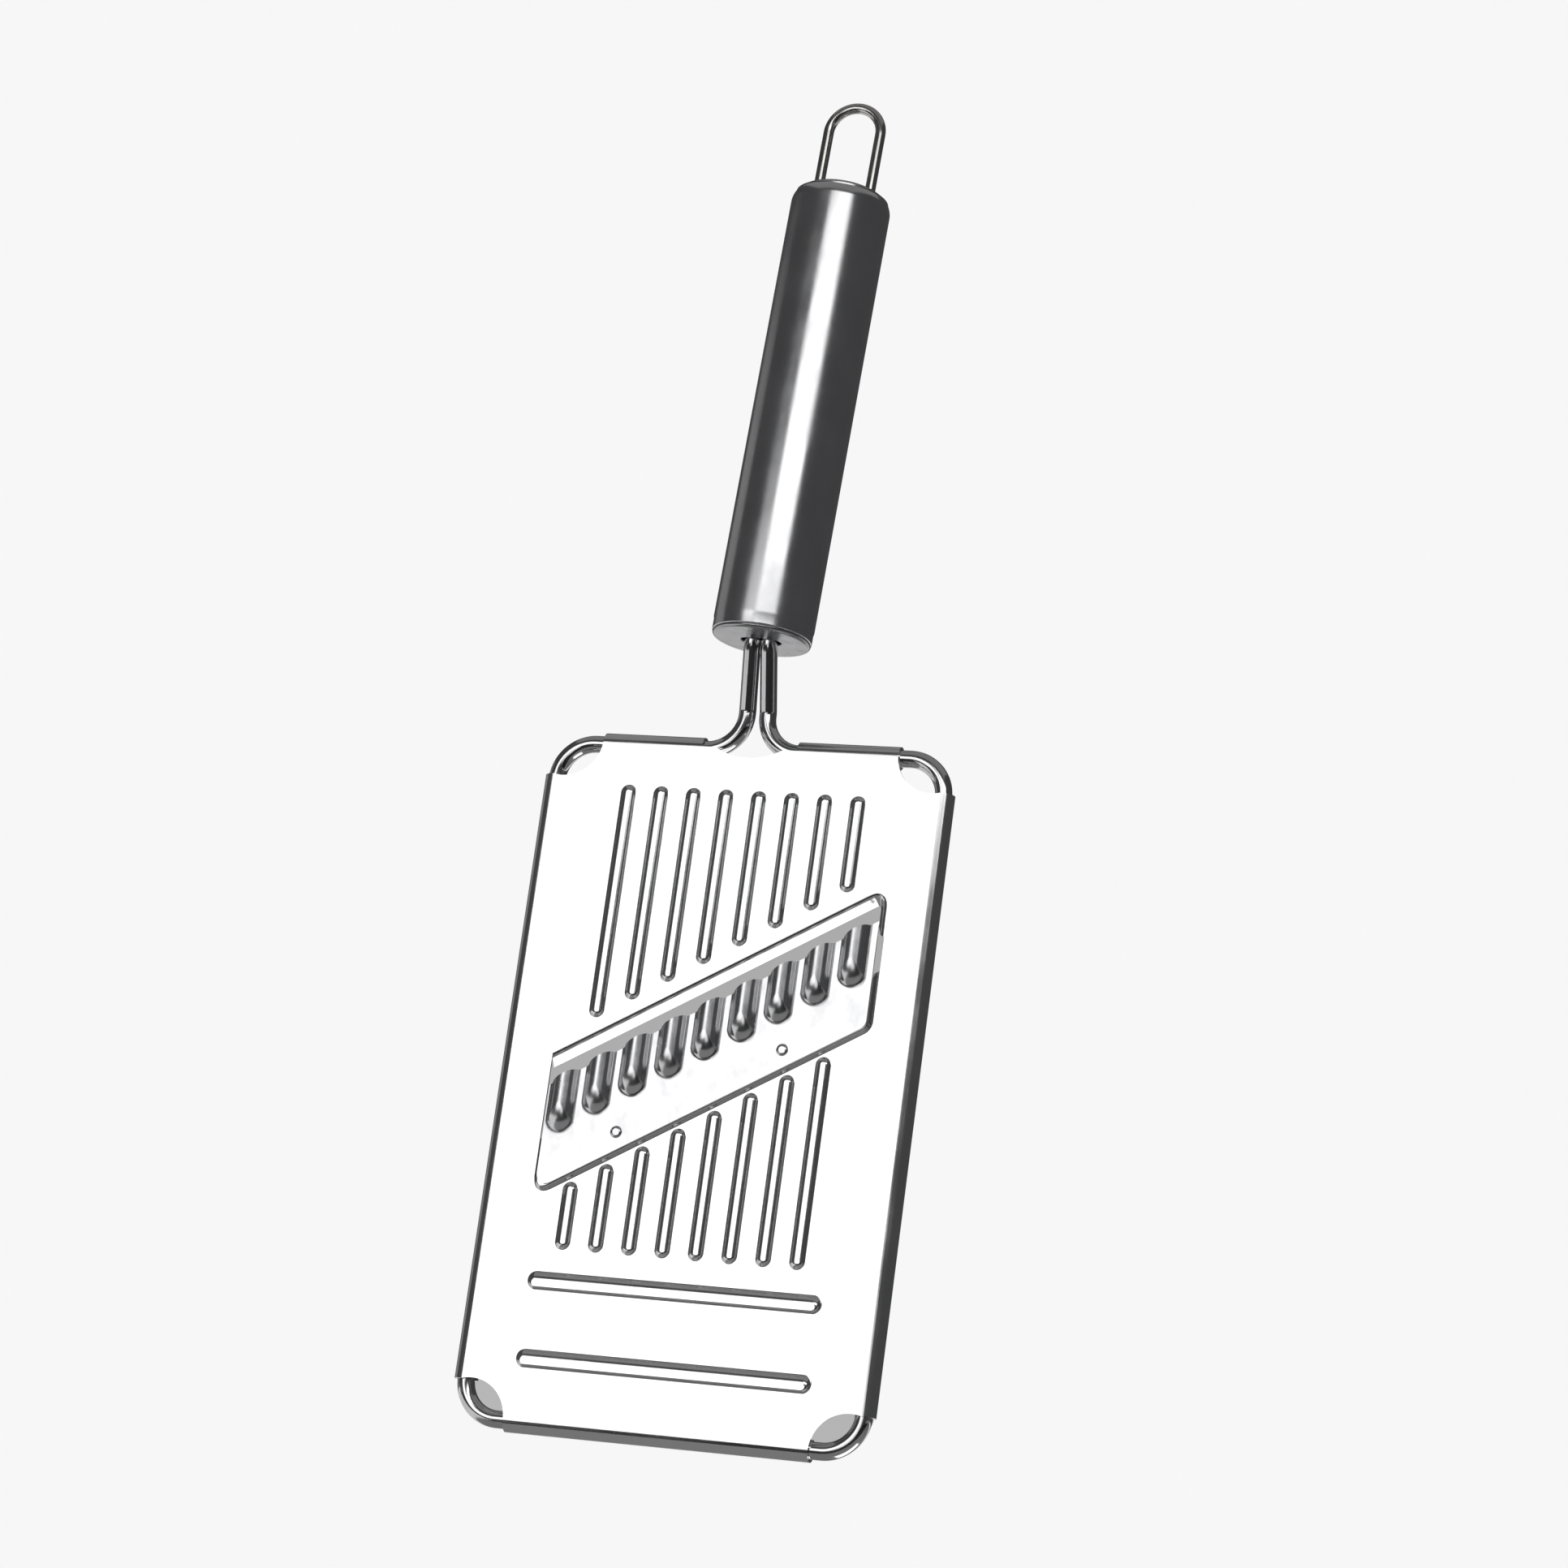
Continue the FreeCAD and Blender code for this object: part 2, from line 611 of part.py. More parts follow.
# ---------------------------------------------------------------- handle, cap and loop
def bore_sketch(body):
    """Half section of the tube's inside, with its round upper corner, bound to the sheet."""
    sketch = origin_sketch(body, "tube_bore", "XZ_Plane")
    bore, ceiling = 11.0, 111.0
    corner = 3.0
    centre = V(bore - corner, ceiling - corner, 0)
    sketch.addGeometry(Part.LineSegment(V(0, 0, 0), V(bore, 0, 0)), False)
    sketch.addGeometry(Part.LineSegment(V(bore, 0, 0), V(bore, ceiling - corner, 0)), False)
    sketch.addGeometry(Part.ArcOfCircle(Part.Circle(centre, Z_AXIS, corner), 0, math.pi / 2), False)
    sketch.addGeometry(Part.LineSegment(V(bore - corner, ceiling, 0), V(0, ceiling, 0)), False)
    sketch.addGeometry(Part.LineSegment(V(0, ceiling, 0), V(0, 0, 0)), False)
    rules = [("Coincident", 0, 1, -1, 1), ("Coincident", 0, 2, 1, 1), ("Tangent", 1, 2, 2, 1),
             ("Tangent", 2, 2, 3, 1), ("Coincident", 3, 2, 4, 1), ("Coincident", 4, 2, 0, 1),
             ("Horizontal", 0), ("Vertical", 1), ("Horizontal", 3), ("PointOnObject", 3, 2, -2)]
    for rule in rules:
        sketch.addConstraint(Sketcher.Constraint(*rule))
    drive(sketch, Sketcher.Constraint("DistanceX", 0, 1, 0, 2, bore),
          "sizes.handle_dia / 2 - sizes.handle_wall")
    drive(sketch, Sketcher.Constraint("DistanceY", 4, 2, 4, 1, ceiling),
          "sizes.handle_length - sizes.handle_wall")
    drive(sketch, Sketcher.Constraint("Radius", 2, corner), "sizes.shoulder_radius - sizes.handle_wall")
    return sketch


def build_handle_tube():
    """Drawn tube, closed at the top with a rounded shoulder, with two holes for the loop's legs."""
    body = doc.addObject("PartDesign::Body", "handle_tube")
    outer = circle_sketch(body, "tube_section", "sizes.handle_dia / 2")
    barrel = pad(body, "tube_barrel", outer, "sizes.handle_length")
    shoulder = round_edges(body, "tube_shoulder", barrel, size("handle_length"), "sizes.shoulder_radius")
    round_edges(body, "tube_rim", shoulder, 0.0, "sizes.rim_radius")
    hollow = body.newObject("PartDesign::Groove", "tube_hollow")
    hollow.Profile = bore_sketch(body)
    hollow.ReferenceAxis = (hollow.Profile[0], ["V_Axis"])
    hollow.Angle = 360
    body.Tip = hollow
    for side, sign in (("left", "-"), ("right", "")):
        leg = circle_sketch(body, f"loop_hole_{side}", "sizes.loop_wire_dia / 2",
                            f"{sign}sizes.loop_leg_spacing / 2")
        pocket(body, f"loop_bore_{side}", leg, "2 * sizes.handle_length")
    body.Placement = handle_placement()
    return body


def build_end_cap():
    """Pressed cap: a face that closes the tube, a skirt inside it, and a slot round both wires."""
    body = doc.addObject("PartDesign::Body", "handle_end_cap")
    skirt_r = "(sizes.handle_dia / 2 - sizes.handle_wall)"
    skirt = circle_sketch(body, "cap_skirt_outline", skirt_r)
    pad(body, "cap_plug", skirt, "sizes.cap_skirt")
    recess = circle_sketch(body, "cap_recess", f"{skirt_r} - sizes.cap_thick")
    pocket(body, "cap_hollow", recess, "2 * sizes.cap_skirt")
    face = circle_sketch(body, "cap_face", "sizes.cap_dia / 2")
    disc = pad(body, "cap_disc", face, "sizes.cap_thick", True)
    round_edges(body, "cap_edge", disc, -size("cap_thick"), "sizes.cap_edge_radius")
    cut = pocket(body, "cap_slot", slot_sketch(body), "4 * sizes.cap_thick")
    cut.Midplane = True
    body.Placement = handle_placement()
    return body


def slot_sketch(body):
    """Round-ended slot for the two wires, bound to the sheet."""
    sketch = origin_sketch(body, "cap_slot_outline", "XY_Plane")
    half, radius = 2.0, 2.0
    for sign in (1, -1):
        end = V(sign * half, 0, 0)
        turn = 0 if sign > 0 else math.pi
        circle = Part.Circle(end, Z_AXIS, radius)
        sketch.addGeometry(Part.ArcOfCircle(circle, turn - math.pi / 2, turn + math.pi / 2), False)
        sketch.addGeometry(Part.LineSegment(end + V(0, sign * radius, 0),
                                            V(-sign * half, sign * radius, 0)), False)
    rules = [("Tangent", 0, 2, 1, 1), ("Tangent", 1, 2, 2, 1), ("Tangent", 2, 2, 3, 1),
             ("Tangent", 3, 2, 0, 1), ("PointOnObject", 0, 3, -1), ("PointOnObject", 2, 3, -1)]
    for rule in rules:
        sketch.addConstraint(Sketcher.Constraint(*rule))
    reach = "(sizes.cap_slot_length - sizes.cap_slot_width) / 2"
    drive(sketch, Sketcher.Constraint("Radius", 0, radius), "sizes.cap_slot_width / 2")
    drive(sketch, Sketcher.Constraint("DistanceX", -1, 1, 0, 3, half), reach)
    drive(sketch, Sketcher.Constraint("DistanceX", 2, 3, -1, 1, half), reach)
    return sketch


def build_hanging_loop():
    """U of thinner wire whose legs pass through the shoulder and end inside the tube."""
    half = size("loop_leg_spacing") / 2
    crest = size("handle_length") + size("loop_height") - size("loop_wire_dia") / 2
    foot = size("handle_length") - size("loop_leg_depth")
    path = Part.Wire([
        Part.LineSegment(V(-half, 0, foot), V(-half, 0, crest - half)).toShape(),
        Part.Arc(V(-half, 0, crest - half), V(0, 0, crest), V(half, 0, crest - half)).toShape(),
        Part.LineSegment(V(half, 0, crest - half), V(half, 0, foot)).toShape(),
    ])
    return seat_in_handle("hanging_loop", round_bar(path, size("loop_wire_dia") / 2))


# ---------------------------------------------------------------- weld beads inside the handle
def weld_ring(name, x, level, bore, reach):
    """Fillet bead round one wire; a positive reach stands it up from the level, a negative one hangs it."""
    throat = abs(reach)
    corners = [V(x + bore, 0, level), V(x + bore + throat, 0, level), V(x + bore, 0, level + reach)]
    ring = Part.Face(Part.makePolygon(corners + corners[:1])).revolve(V(x, 0, 0), Z_AXIS, 360)
    return seat_in_handle(name, ring)


def seat_in_handle(name, shape):
    """Feature in the handle's own axes."""
    feature = doc.addObject("Part::Feature", name)
    feature.Shape = shape
    feature.Placement = handle_placement()
    return feature


def leg_weld(name, side):
    """Bead in the valley between the frame's two legs, on the side of the sign given."""
    start = V(0, side * size("leg_weld_offset"), size("leg_weld_level"))
    bead_rod = Part.makeCylinder(size("weld_throat"), size("leg_weld_length"), start, Z_AXIS)
    legs = [Part.makeCylinder(WIRE_R, size("handle_length"), V(x, 0, 0), Z_AXIS)
            for x in (-LEG_AXIS, LEG_AXIS)]
    return seat_in_handle(name, bead_rod.cut(legs))


def build_welds():
    """Beads that hold the loop's legs under the shoulder and tack the frame's two legs together."""
    throat = size("weld_throat")
    half = size("loop_leg_spacing") / 2
    ceiling = size("handle_length") - size("handle_wall")
    rings = [weld_ring(f"loop_weld_{side}", x, ceiling, size("loop_wire_dia") / 2, -throat)
             for side, x in (("left", -half), ("right", half))]
    return rings + [leg_weld("leg_weld_front", -1), leg_weld("leg_weld_back", 1)]


# ---------------------------------------------------------------- assembly, checks and export
def build_all():
    """Every sub-part, in the order they go together."""
    pieces = [build_plate(), build_blade()]
    pieces += [build_rivet(side, point) for side, point in zip(("left", "right"), rivet_points())]
    pieces += [build_frame_wire(), build_handle_tube(), build_end_cap(), build_hanging_loop()]
    return pieces + build_welds()


def move_home(pieces):
    """Shift every piece so that the loop's bearing point is the origin."""
    crest = size("handle_length") + size("loop_height") - size("loop_wire_dia")
    home = FreeCAD.Placement(-handle_placement().multVec(V(0, 0, crest)), FreeCAD.Rotation())
    for piece in pieces:
        piece.Placement = home.multiply(piece.Placement)


def check_and_export(pieces):
    """Stop on any failed object or shape, then write one STEP file for each piece."""
    failed = [o.Name for o in doc.Objects if "Invalid" in o.State or "Error" in o.State]
    failed += [p.Label for p in pieces if p.Shape.isNull() or not p.Shape.isValid()]
    if failed:
        raise RuntimeError("failed objects: " + ", ".join(failed))
    os.makedirs("parts", exist_ok=True)
    for piece in pieces:
        piece.Shape.exportStep(f"parts/{piece.Label}.step")
        box = piece.Shape.optimalBoundingBox()
        print(f"{piece.Label}: solids {len(piece.Shape.Solids)}, volume {piece.Shape.Volume:.1f} mm3, "
              f"z {box.ZMin:.2f} to {box.ZMax:.2f}")


pieces = build_all()
doc.recompute()
move_home(pieces)
doc.recompute()
check_and_export(pieces)
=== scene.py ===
"""Wave slicer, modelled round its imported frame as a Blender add-on.

A pressed steel plate with rolled edges sits in a bent wire frame. A fluted blade is riveted on
the plate's raised seat, the wire's two ends run into a tube handle, and a loop hangs it all up.
Each piece is modelled in plate coordinates (X across, Y to the back, Z up from the plate's
bottom edge, the frame wire's axis at Y = 0) or in the handle's own axes, then moved home.
"""
import json
import math

import bmesh
import bpy
from bpy.props import FloatProperty, FloatVectorProperty, IntProperty, PointerProperty
from bpy.types import Operator, Panel, PropertyGroup
from mathutils import Matrix, Vector

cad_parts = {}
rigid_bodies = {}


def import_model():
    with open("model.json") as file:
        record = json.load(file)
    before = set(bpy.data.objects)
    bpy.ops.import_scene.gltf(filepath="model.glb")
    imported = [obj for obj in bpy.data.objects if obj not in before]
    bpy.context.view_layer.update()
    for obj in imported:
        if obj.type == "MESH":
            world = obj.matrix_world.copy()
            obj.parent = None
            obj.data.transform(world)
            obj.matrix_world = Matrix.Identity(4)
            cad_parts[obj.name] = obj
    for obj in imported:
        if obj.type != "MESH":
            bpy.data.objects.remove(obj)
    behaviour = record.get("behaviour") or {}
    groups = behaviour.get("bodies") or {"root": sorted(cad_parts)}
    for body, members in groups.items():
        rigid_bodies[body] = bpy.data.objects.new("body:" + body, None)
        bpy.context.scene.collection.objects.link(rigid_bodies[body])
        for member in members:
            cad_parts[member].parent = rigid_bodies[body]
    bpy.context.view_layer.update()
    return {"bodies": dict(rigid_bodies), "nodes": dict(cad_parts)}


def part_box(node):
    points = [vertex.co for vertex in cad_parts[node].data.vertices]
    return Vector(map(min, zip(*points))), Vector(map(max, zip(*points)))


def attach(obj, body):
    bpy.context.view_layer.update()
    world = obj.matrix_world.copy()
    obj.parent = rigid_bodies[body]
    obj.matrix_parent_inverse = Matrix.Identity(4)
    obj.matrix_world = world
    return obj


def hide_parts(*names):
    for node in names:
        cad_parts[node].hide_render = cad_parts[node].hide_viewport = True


bl_info = {
    "name": "Wave Slicer",
    "version": (1, 0, 0),
    "blender": (4, 5, 0),
    "location": "3D View > Sidebar > Wave Slicer",
    "description": "Models a hand-held wave slicer in pressed and polished steel",
    "category": "Object",
}

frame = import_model()
PLATE_LOW, PLATE_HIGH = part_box("slicer_plate")
BODY = next(iter(frame["bodies"]))
MM = 0.001
BEAD_CUTS = 50  # corners round a bead's or a flute's outline
BEND_CUT = math.radians(3.5)  # longest turn of one cut along a wire's bend
CROWN_SLACK = 0.2 * MM  # half the width left flat on a crown, so that the last inset stays open
HAIR = 0.1 * MM  # smallest gap or difference that matters
CREASE = math.radians(35)  # edges sharper than this stay sharp when smoothed


# ------------------------------------------------------------------------------ sizes and finishes
def length(label, note, millimetres):
    """A length that a user can change, given in millimetres and kept in metres."""
    return FloatProperty(name=label, description=note, default=millimetres * MM, unit="LENGTH",
                         precision=5)


def angle(label, note, degrees):
    """An angle that a user can change, given in degrees."""
    return FloatProperty(name=label, description=note, default=math.radians(degrees),
                         subtype="ANGLE")


def colour(label, note, value):
    """A colour that a user can change, in linear light."""
    return FloatVectorProperty(name=label, description=note, default=value, size=3, min=0.0,
                               max=1.0, subtype="COLOR")


class SlicerSizes(PropertyGroup):
    """Lengths and angles of the slicer."""

    plate_width: length("Plate width", "Over the two side hems", 100.0)
    plate_length: length("Plate length", "From bottom hem to top hem", 165.0)
    sheet_thick: length("Sheet thickness", "Of the pressed plate", 0.6)
    wire_radius: length("Wire radius", "Of the frame wire", 2.0)
    hem_radius: length("Hem radius", "Outside radius of a rolled edge", 2.7)
    corner_radius: length("Corner radius", "Of the frame wire's axis at the plate's corners", 8.8)
    notch_radius: length("Notch radius", "Of the round cut that bares each corner", 8.9)
    notch_side: length("Notch side inset", "From plate side to notch centre", 5.0)
    notch_end: length("Notch end inset", "From plate end to notch centre", 2.4)
    neck_radius: length("Neck notch radius", "Of the cut between the wire's two ends", 16.0)
    neck_depth: length("Neck notch depth", "Below the plate's top edge", 5.0)
    rib_pitch: length("Rib pitch", "Between neighbouring ribs", 8.0)
    rib_width: length("Rib width", "At the foot of a rib", 4.0)
    rib_height: length("Rib height", "Above the plate", 0.9)
    rib_crown: length("Rib crown", "Half the flat width along the top of a rib", 0.35)
    rib_foot: length("Rib foot radius", "Where a rib grows out of the plate", 0.35)
    upper_rib_top: length("Upper rib top", "Level of the upper ribs' top ends", 152.2)
    upper_rib_gap: length("Upper rib gap", "From the window to the upper ribs' tips", 3.0)
    lower_rib_bottom: length("Lower rib bottom", "Level of the lower ribs' bottom ends", 41.8)
    bar_reach: length("Bar half length", "From the plate's middle to a bar's end", 35.2)
    bar_width: length("Bar width", "At the foot of a bar", 4.6)
    bar_height: length("Bar height", "Above the plate", 1.1)
    bar_crown: length("Bar crown", "Half the flat width along the top of a bar", 0.65)
    rib_lean: FloatProperty(name="Rib lean", default=0.2,
                            description="How far each rib leans to the right")
    bar_lean: FloatProperty(name="Bar lean", default=0.55,
                            description="How far each bar leans down")
    upper_bar: length("Upper bar level", "Height of the upper bar's middle", 34.6)
    lower_bar: length("Lower bar level", "Height of the lower bar's middle", 16.8)
    slant: angle("Blade slant", "Of the blade, its seat and the window", 30.5)
    window_left: length("Window left side", "Distance left of the plate's middle", 37.2)
    window_right: length("Window right side", "Distance right of the plate's middle", 38.4)
    window_top: length("Window top", "Level of the window's upper edge at the middle", 109.6)
    window_corner: length("Window corner radius", "Of the upper right corner", 3.4)
    side_lip_end: length("Side lip end", "Level where the side lip runs out", 119.5)
    lip_radius: length("Lip bend radius", "Of the lip bent back above the slot", 1.4)
    lip_angle: angle("Lip angle", "How far the lip is bent back", 64.0)
    lip_run: length("Lip run", "Flat part of the lip past its bend", 2.7)
    seat_bottom: length("Seat bottom", "Level of the seat's lower edge at the middle", 74.8)
    seat_top: length("Seat top", "Level of the seat's upper edge at the middle", 87.5)
    seat_run: length("Seat wall run", "How far the seat's wall leans in", 1.15)
    seat_height: length("Seat height", "Above the plate", 1.2)
    seat_foot: length("Seat foot radius", "Where the seat grows out of the plate", 0.5)
    seat_corner: length("Seat corner radius", "Of the seat's lower corners", 3.0)
    seat_taper: FloatProperty(name="Seat taper", default=2.2,
                              description="How far the seat's walls run on for their height")
    blade_thick: length("Blade thickness", "Of the fluted blade", 0.5)
    cutting_level: length("Cutting edge", "Level of the cutting edge at the middle", 99.9)
    blade_lean: length("Blade side lean", "How far each side leans in at the edge", 2.8)
    flute_pitch: length("Flute pitch", "Between neighbouring flutes", 8.1)
    flute_width: length("Flute width", "At the foot of a flute", 7.2)
    flute_height: length("Flute height", "Above the lands", 2.4)
    flute_foot: length("Flute foot radius", "Where a flute grows out of the blade", 0.8)
    flute_draw: FloatProperty(name="Flute draw", default=1.2,
                              description="How far a flute's round end is drawn out along it")
    flute_start: length("Flute start", "Level of the flutes' round ends at the middle", 86.8)
    rivet_reach: length("Rivet reach", "From the plate's middle to a rivet", 18.4)
    rivet_level: length("Rivet level", "Of the rivets at the middle", 80.5)
    rivet_radius: length("Rivet radius", "Of a rivet's head", 1.45)
    rivet_height: length("Rivet height", "Of a rivet's head", 0.35)
    neck_bend: length("Neck bend radius", "Where the wire turns up from the plate", 8.8)
    neck_gap: length("Neck gap", "Between the two wires at the kink", 1.1)
    neck_forward: length("Neck forward", "How far the handle stands in front", 6.8)
    neck_rise: length("Neck rise", "From the kink to the handle", 16.2)
    kink_lift: length("Kink lift", "From the end of the neck bend to the kink", 0.7)
    kink_radius: length("Kink radius", "Of the forward bend", 3.5)
    return_radius: length("Return radius", "Of the bend back under the cap", 9.0)
    return_drop: length("Return drop", "From the cap down to that bend's corner", 1.2)
    leg_axis: length("Leg axis", "From the handle's axis to each wire's axis", 2.02)
    leg_depth: length("Leg depth", "Of the wires inside the handle", 38.0)
    tilt: angle("Handle tilt", "Of the handle towards the plate's right", 2.5)
    handle_radius: length("Handle radius", "Of the tube", 11.9)
    handle_length: length("Handle length", "Of the tube", 112.0)
    handle_wall: length("Handle wall", "Thickness of the tube", 0.8)
    shoulder_radius: length("Shoulder radius", "Of the tube's closed end", 4.5)
    cap_radius: length("Cap radius", "Of the cap's face", 11.6)
    cap_thick: length("Cap thickness", "How far the cap stands out", 1.0)
    slot_reach: length("Slot half length", "Of the cap's slot", 4.9)
    slot_radius: length("Slot end radius", "Half the slot's width", 2.5)
    loop_radius: length("Loop wire radius", "Of the hanging loop's wire", 1.25)
    loop_reach: length("Loop half spacing", "From the handle's axis to a leg of the loop", 6.5)
    loop_height: length("Loop height", "From the handle's top to the loop's top", 23.2)
    loop_depth: length("Loop leg depth", "Of the loop's legs inside the handle", 9.0)
    ribs: IntProperty(name="Ribs", description="Ribs in each row", default=8, min=2, max=12)
    flutes: IntProperty(name="Flutes", description="Flutes on the blade", default=9, min=2, max=12)


class SlicerFinishes(PropertyGroup):
    """Colours of the slicer and its stage."""

    sheet: colour("Plate steel", "Polished sheet", (0.80, 0.80, 0.80))
    blade: colour("Blade steel", "Hardened and ground", (0.74, 0.74, 0.75))
    wire: colour("Wire steel", "Drawn and polished", (0.66, 0.66, 0.67))
    tube: colour("Handle steel", "Satin tube", (0.70, 0.70, 0.71))
    cap: colour("Cap steel", "Pressed end cap", (0.42, 0.42, 0.43))
    loop: colour("Loop steel", "Bright wire", (0.58, 0.57, 0.55))
    weld: colour("Weld metal", "Bead left as welded", (0.42, 0.40, 0.38))
    floor: colour("Floor", "Pale stage floor", (0.90, 0.90, 0.90))


def sizes():
    """The slicer's lengths and angles."""
    return bpy.context.scene.slicer_sizes


def finishes():
    """The slicer's colours."""
    return bpy.context.scene.slicer_finishes


def oblique(level, x):
    """Height at x of the slanted line that crosses the plate's middle at a level."""
    return level + math.tan(sizes().slant) * x


def plate_home():
    """Where plate coordinates stand in the frame."""
    middle = (PLATE_LOW.x + PLATE_HIGH.x) / 2
    return Matrix.Translation((middle, PLATE_HIGH.y - sizes().hem_radius, PLATE_LOW.z))


def kink_level():
    """Height of the wires' forward bend above the plate's bottom edge."""
    s = sizes()
    return s.plate_length - s.hem_radius + s.neck_bend + s.kink_lift


def handle_in_plate():
    """The handle's own axes in plate coordinates: its foot, leaning to the plate's right."""
    s = sizes()
    turn = Matrix.Rotation(s.tilt, 4, "Y")
    kink = Matrix.Translation((0, 0, kink_level()))
    return kink @ turn @ Matrix.Translation((0, -s.neck_forward, s.neck_rise))


def handle_home():
    """Where the handle's own axes stand in the frame."""
    return plate_home() @ handle_in_plate()


# ------------------------------------------------------------------------------ modelling by hand
def put_down():
    """Leave edit mode with nothing selected."""
    if bpy.context.mode != "OBJECT":
        bpy.ops.object.mode_set(mode="OBJECT")
    bpy.ops.object.select_all(action="DESELECT")


def take_up(piece):
    """Make one piece active and go into edit mode on it."""
    put_down()
    piece.select_set(True)
    bpy.context.view_layer.objects.active = piece
    bpy.ops.object.mode_set(mode="EDIT")


def start_piece(name):
    """Name the primitive just added, put its place in its mesh and edit it, all selected."""
    piece = bpy.context.object
    piece.name = name
    piece.data.name = name
    bpy.ops.object.transform_apply(location=True, rotation=True, scale=True)
    take_up(piece)
    bpy.ops.mesh.select_mode(type="VERT")
    bpy.ops.mesh.select_all(action="SELECT")
    return piece


def parts_of(kind):
    """Edit-mode mesh and its vertices, edges or faces."""
    mesh = bmesh.from_edit_mesh(bpy.context.edit_object.data)
    return mesh, {"VERT": mesh.verts, "EDGE": mesh.edges, "FACE": mesh.faces}[kind]


def choose(kind, test, among_selected=False):
    """Select the vertices, edges or faces that pass a test, and nothing else."""
    mesh, items = parts_of(kind)
    chosen = [item for item in items if (item.select or not among_selected) and test(item)]
    bpy.ops.mesh.select_mode(type=kind)
    bpy.ops.mesh.select_all(action="DESELECT")
    for item in chosen:
        item.select_set(True)
    mesh.select_flush_mode()
    bmesh.update_edit_mesh(bpy.context.edit_object.data)


def all_at(test):
    """Test that holds when every corner of an edge or face passes it."""
    return lambda item: all(test(vertex.co) for vertex in item.verts)


def near(value, wanted, slack=0.02 * MM):
    """Whether two lengths are the same."""
    return abs(value - wanted) < slack


def push(step):
    """Extrude what is selected along a straight step."""
    if step.length > 1e-7:
        bpy.ops.mesh.extrude_region_move(TRANSFORM_OT_translate={"value": step})


def swing(steps, turn, centre, axis):
    """Extrude what is selected round an axis; without a window the operator turns left-handed."""
    bpy.ops.mesh.spin(steps=steps, angle=-turn, center=centre, axis=axis)


def arc_steps(radius, start, stop, cuts):
    """Run and rise of each cut along an arc between two slopes."""
    slopes = [start + (stop - start) * i / cuts for i in range(cuts + 1)]
    return [(radius * abs(math.sin(b) - math.sin(a)), radius * abs(math.cos(b) - math.cos(a)))
            for a, b in zip(slopes, slopes[1:])]


def press_steps(run, rise, foot):
    """Inset and lift of each step up a pressed wall: a foot radius, then a round crown."""
    lean = 2 * math.atan(rise / run)
    crown = run / math.sin(lean) - foot
    return arc_steps(foot, 0.0, lean, 4) + arc_steps(crown, lean, 0.0, 9)


def press(steps, border=0.12 * MM):
    """Raise the selected faces by insets, each with its own lift, inside a narrow flat border."""
    for run, rise in [(border, 0.0)] + steps:
        bpy.ops.mesh.inset(thickness=run, depth=rise)


def round_ended(place, reach, radius, upright, face_y):
    """Flat round-ended face whose end circles lie reach apart, from place along X or Z."""
    bpy.ops.mesh.primitive_circle_add(
        vertices=BEAD_CUTS, radius=radius, fill_type="NGON",
        location=(place[0], face_y, place[1]),
        rotation=(math.pi / 2, 0 if upright else math.pi / 2, 0))
    if upright:
        choose("VERT", lambda v: v.co.z > place[1], among_selected=True)
        bpy.ops.transform.translate(value=(0, 0, reach))
    else:
        choose("VERT", lambda v: v.co.x > place[0], among_selected=True)
        bpy.ops.transform.translate(value=(reach, 0, 0))


def add_modifier(piece, kind, **settings):
    """Add a modifier with its settings, then apply it."""
    modifier = piece.modifiers.new(kind.lower(), kind)
    for name, value in settings.items():
        setattr(modifier, name, value)
    bpy.ops.object.modifier_apply(modifier=modifier.name)


def face_outwards():
    """Make a closed mesh's faces point outwards."""
    bpy.ops.mesh.select_mode(type="FACE")
    bpy.ops.mesh.select_all(action="SELECT")
    bpy.ops.mesh.remove_doubles(threshold=0.004 * MM)
    bpy.ops.mesh.normals_make_consistent(inside=False)


def hand_over(piece, nodes, slot, home):
    """Move a finished piece home, smooth it and give it to the frame."""
    put_down()
    piece.select_set(True)
    bpy.context.view_layer.objects.active = piece
    piece.matrix_world = home
    bpy.ops.object.transform_apply(location=True, rotation=True, scale=True)
    bpy.ops.object.shade_smooth_by_angle(angle=CREASE)
    add_modifier(piece, "WEIGHTED_NORMAL", mode="FACE_AREA", weight=50, keep_sharp=True)
    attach(piece, BODY)
    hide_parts(*nodes)
    piece.data.materials.clear()
    piece.data.materials.append(FINISHES[slot]())


def bend_wire(name, points, bends, radius, around):
    """Round wire through points, with a bend of its own radius at each inner point."""
    heading = (points[1] - points[0]).normalized()
    bpy.ops.mesh.primitive_circle_add(vertices=around, radius=radius, location=points[0],
                                      rotation=heading.to_track_quat("Z", "X").to_euler())
    wire = start_piece(name)
    here = points[0]
    for corner, after, bend in zip(points[1:], points[2:], bends):
        before = (corner - here).normalized()
        ahead = (after - corner).normalized()
        turn = before.angle(ahead)
        reach = bend * math.tan(turn / 2)
        push(corner - before * reach - here)
        axis = before.cross(ahead).normalized()
        centre = corner - before * reach + axis.cross(before) * bend
        swing(max(3, math.ceil(turn / BEND_CUT)), turn, centre, axis)
        here = corner + ahead * reach
    push(points[-1] - here)
    bpy.ops.mesh.select_all(action="SELECT")
    bpy.ops.mesh.fill_holes(sides=0)
    face_outwards()
    return wire


# ------------------------------------------------------------------------------ finishes
def new_finish(name, base, roughness):
    """Bare metal material and its nodes, links, shader and Object coordinates."""
    material = bpy.data.materials.new(name)
    material.use_nodes = True
    tree = material.node_tree
    shader = tree.nodes["Principled BSDF"]
    shader.inputs["Base Color"].default_value = (*base, 1.0)
    shader.inputs["Metallic"].default_value = 1.0
    shader.inputs["Roughness"].default_value = roughness
    place = tree.nodes.new("ShaderNodeTexCoord")
    return material, tree, shader, place.outputs["Object"]


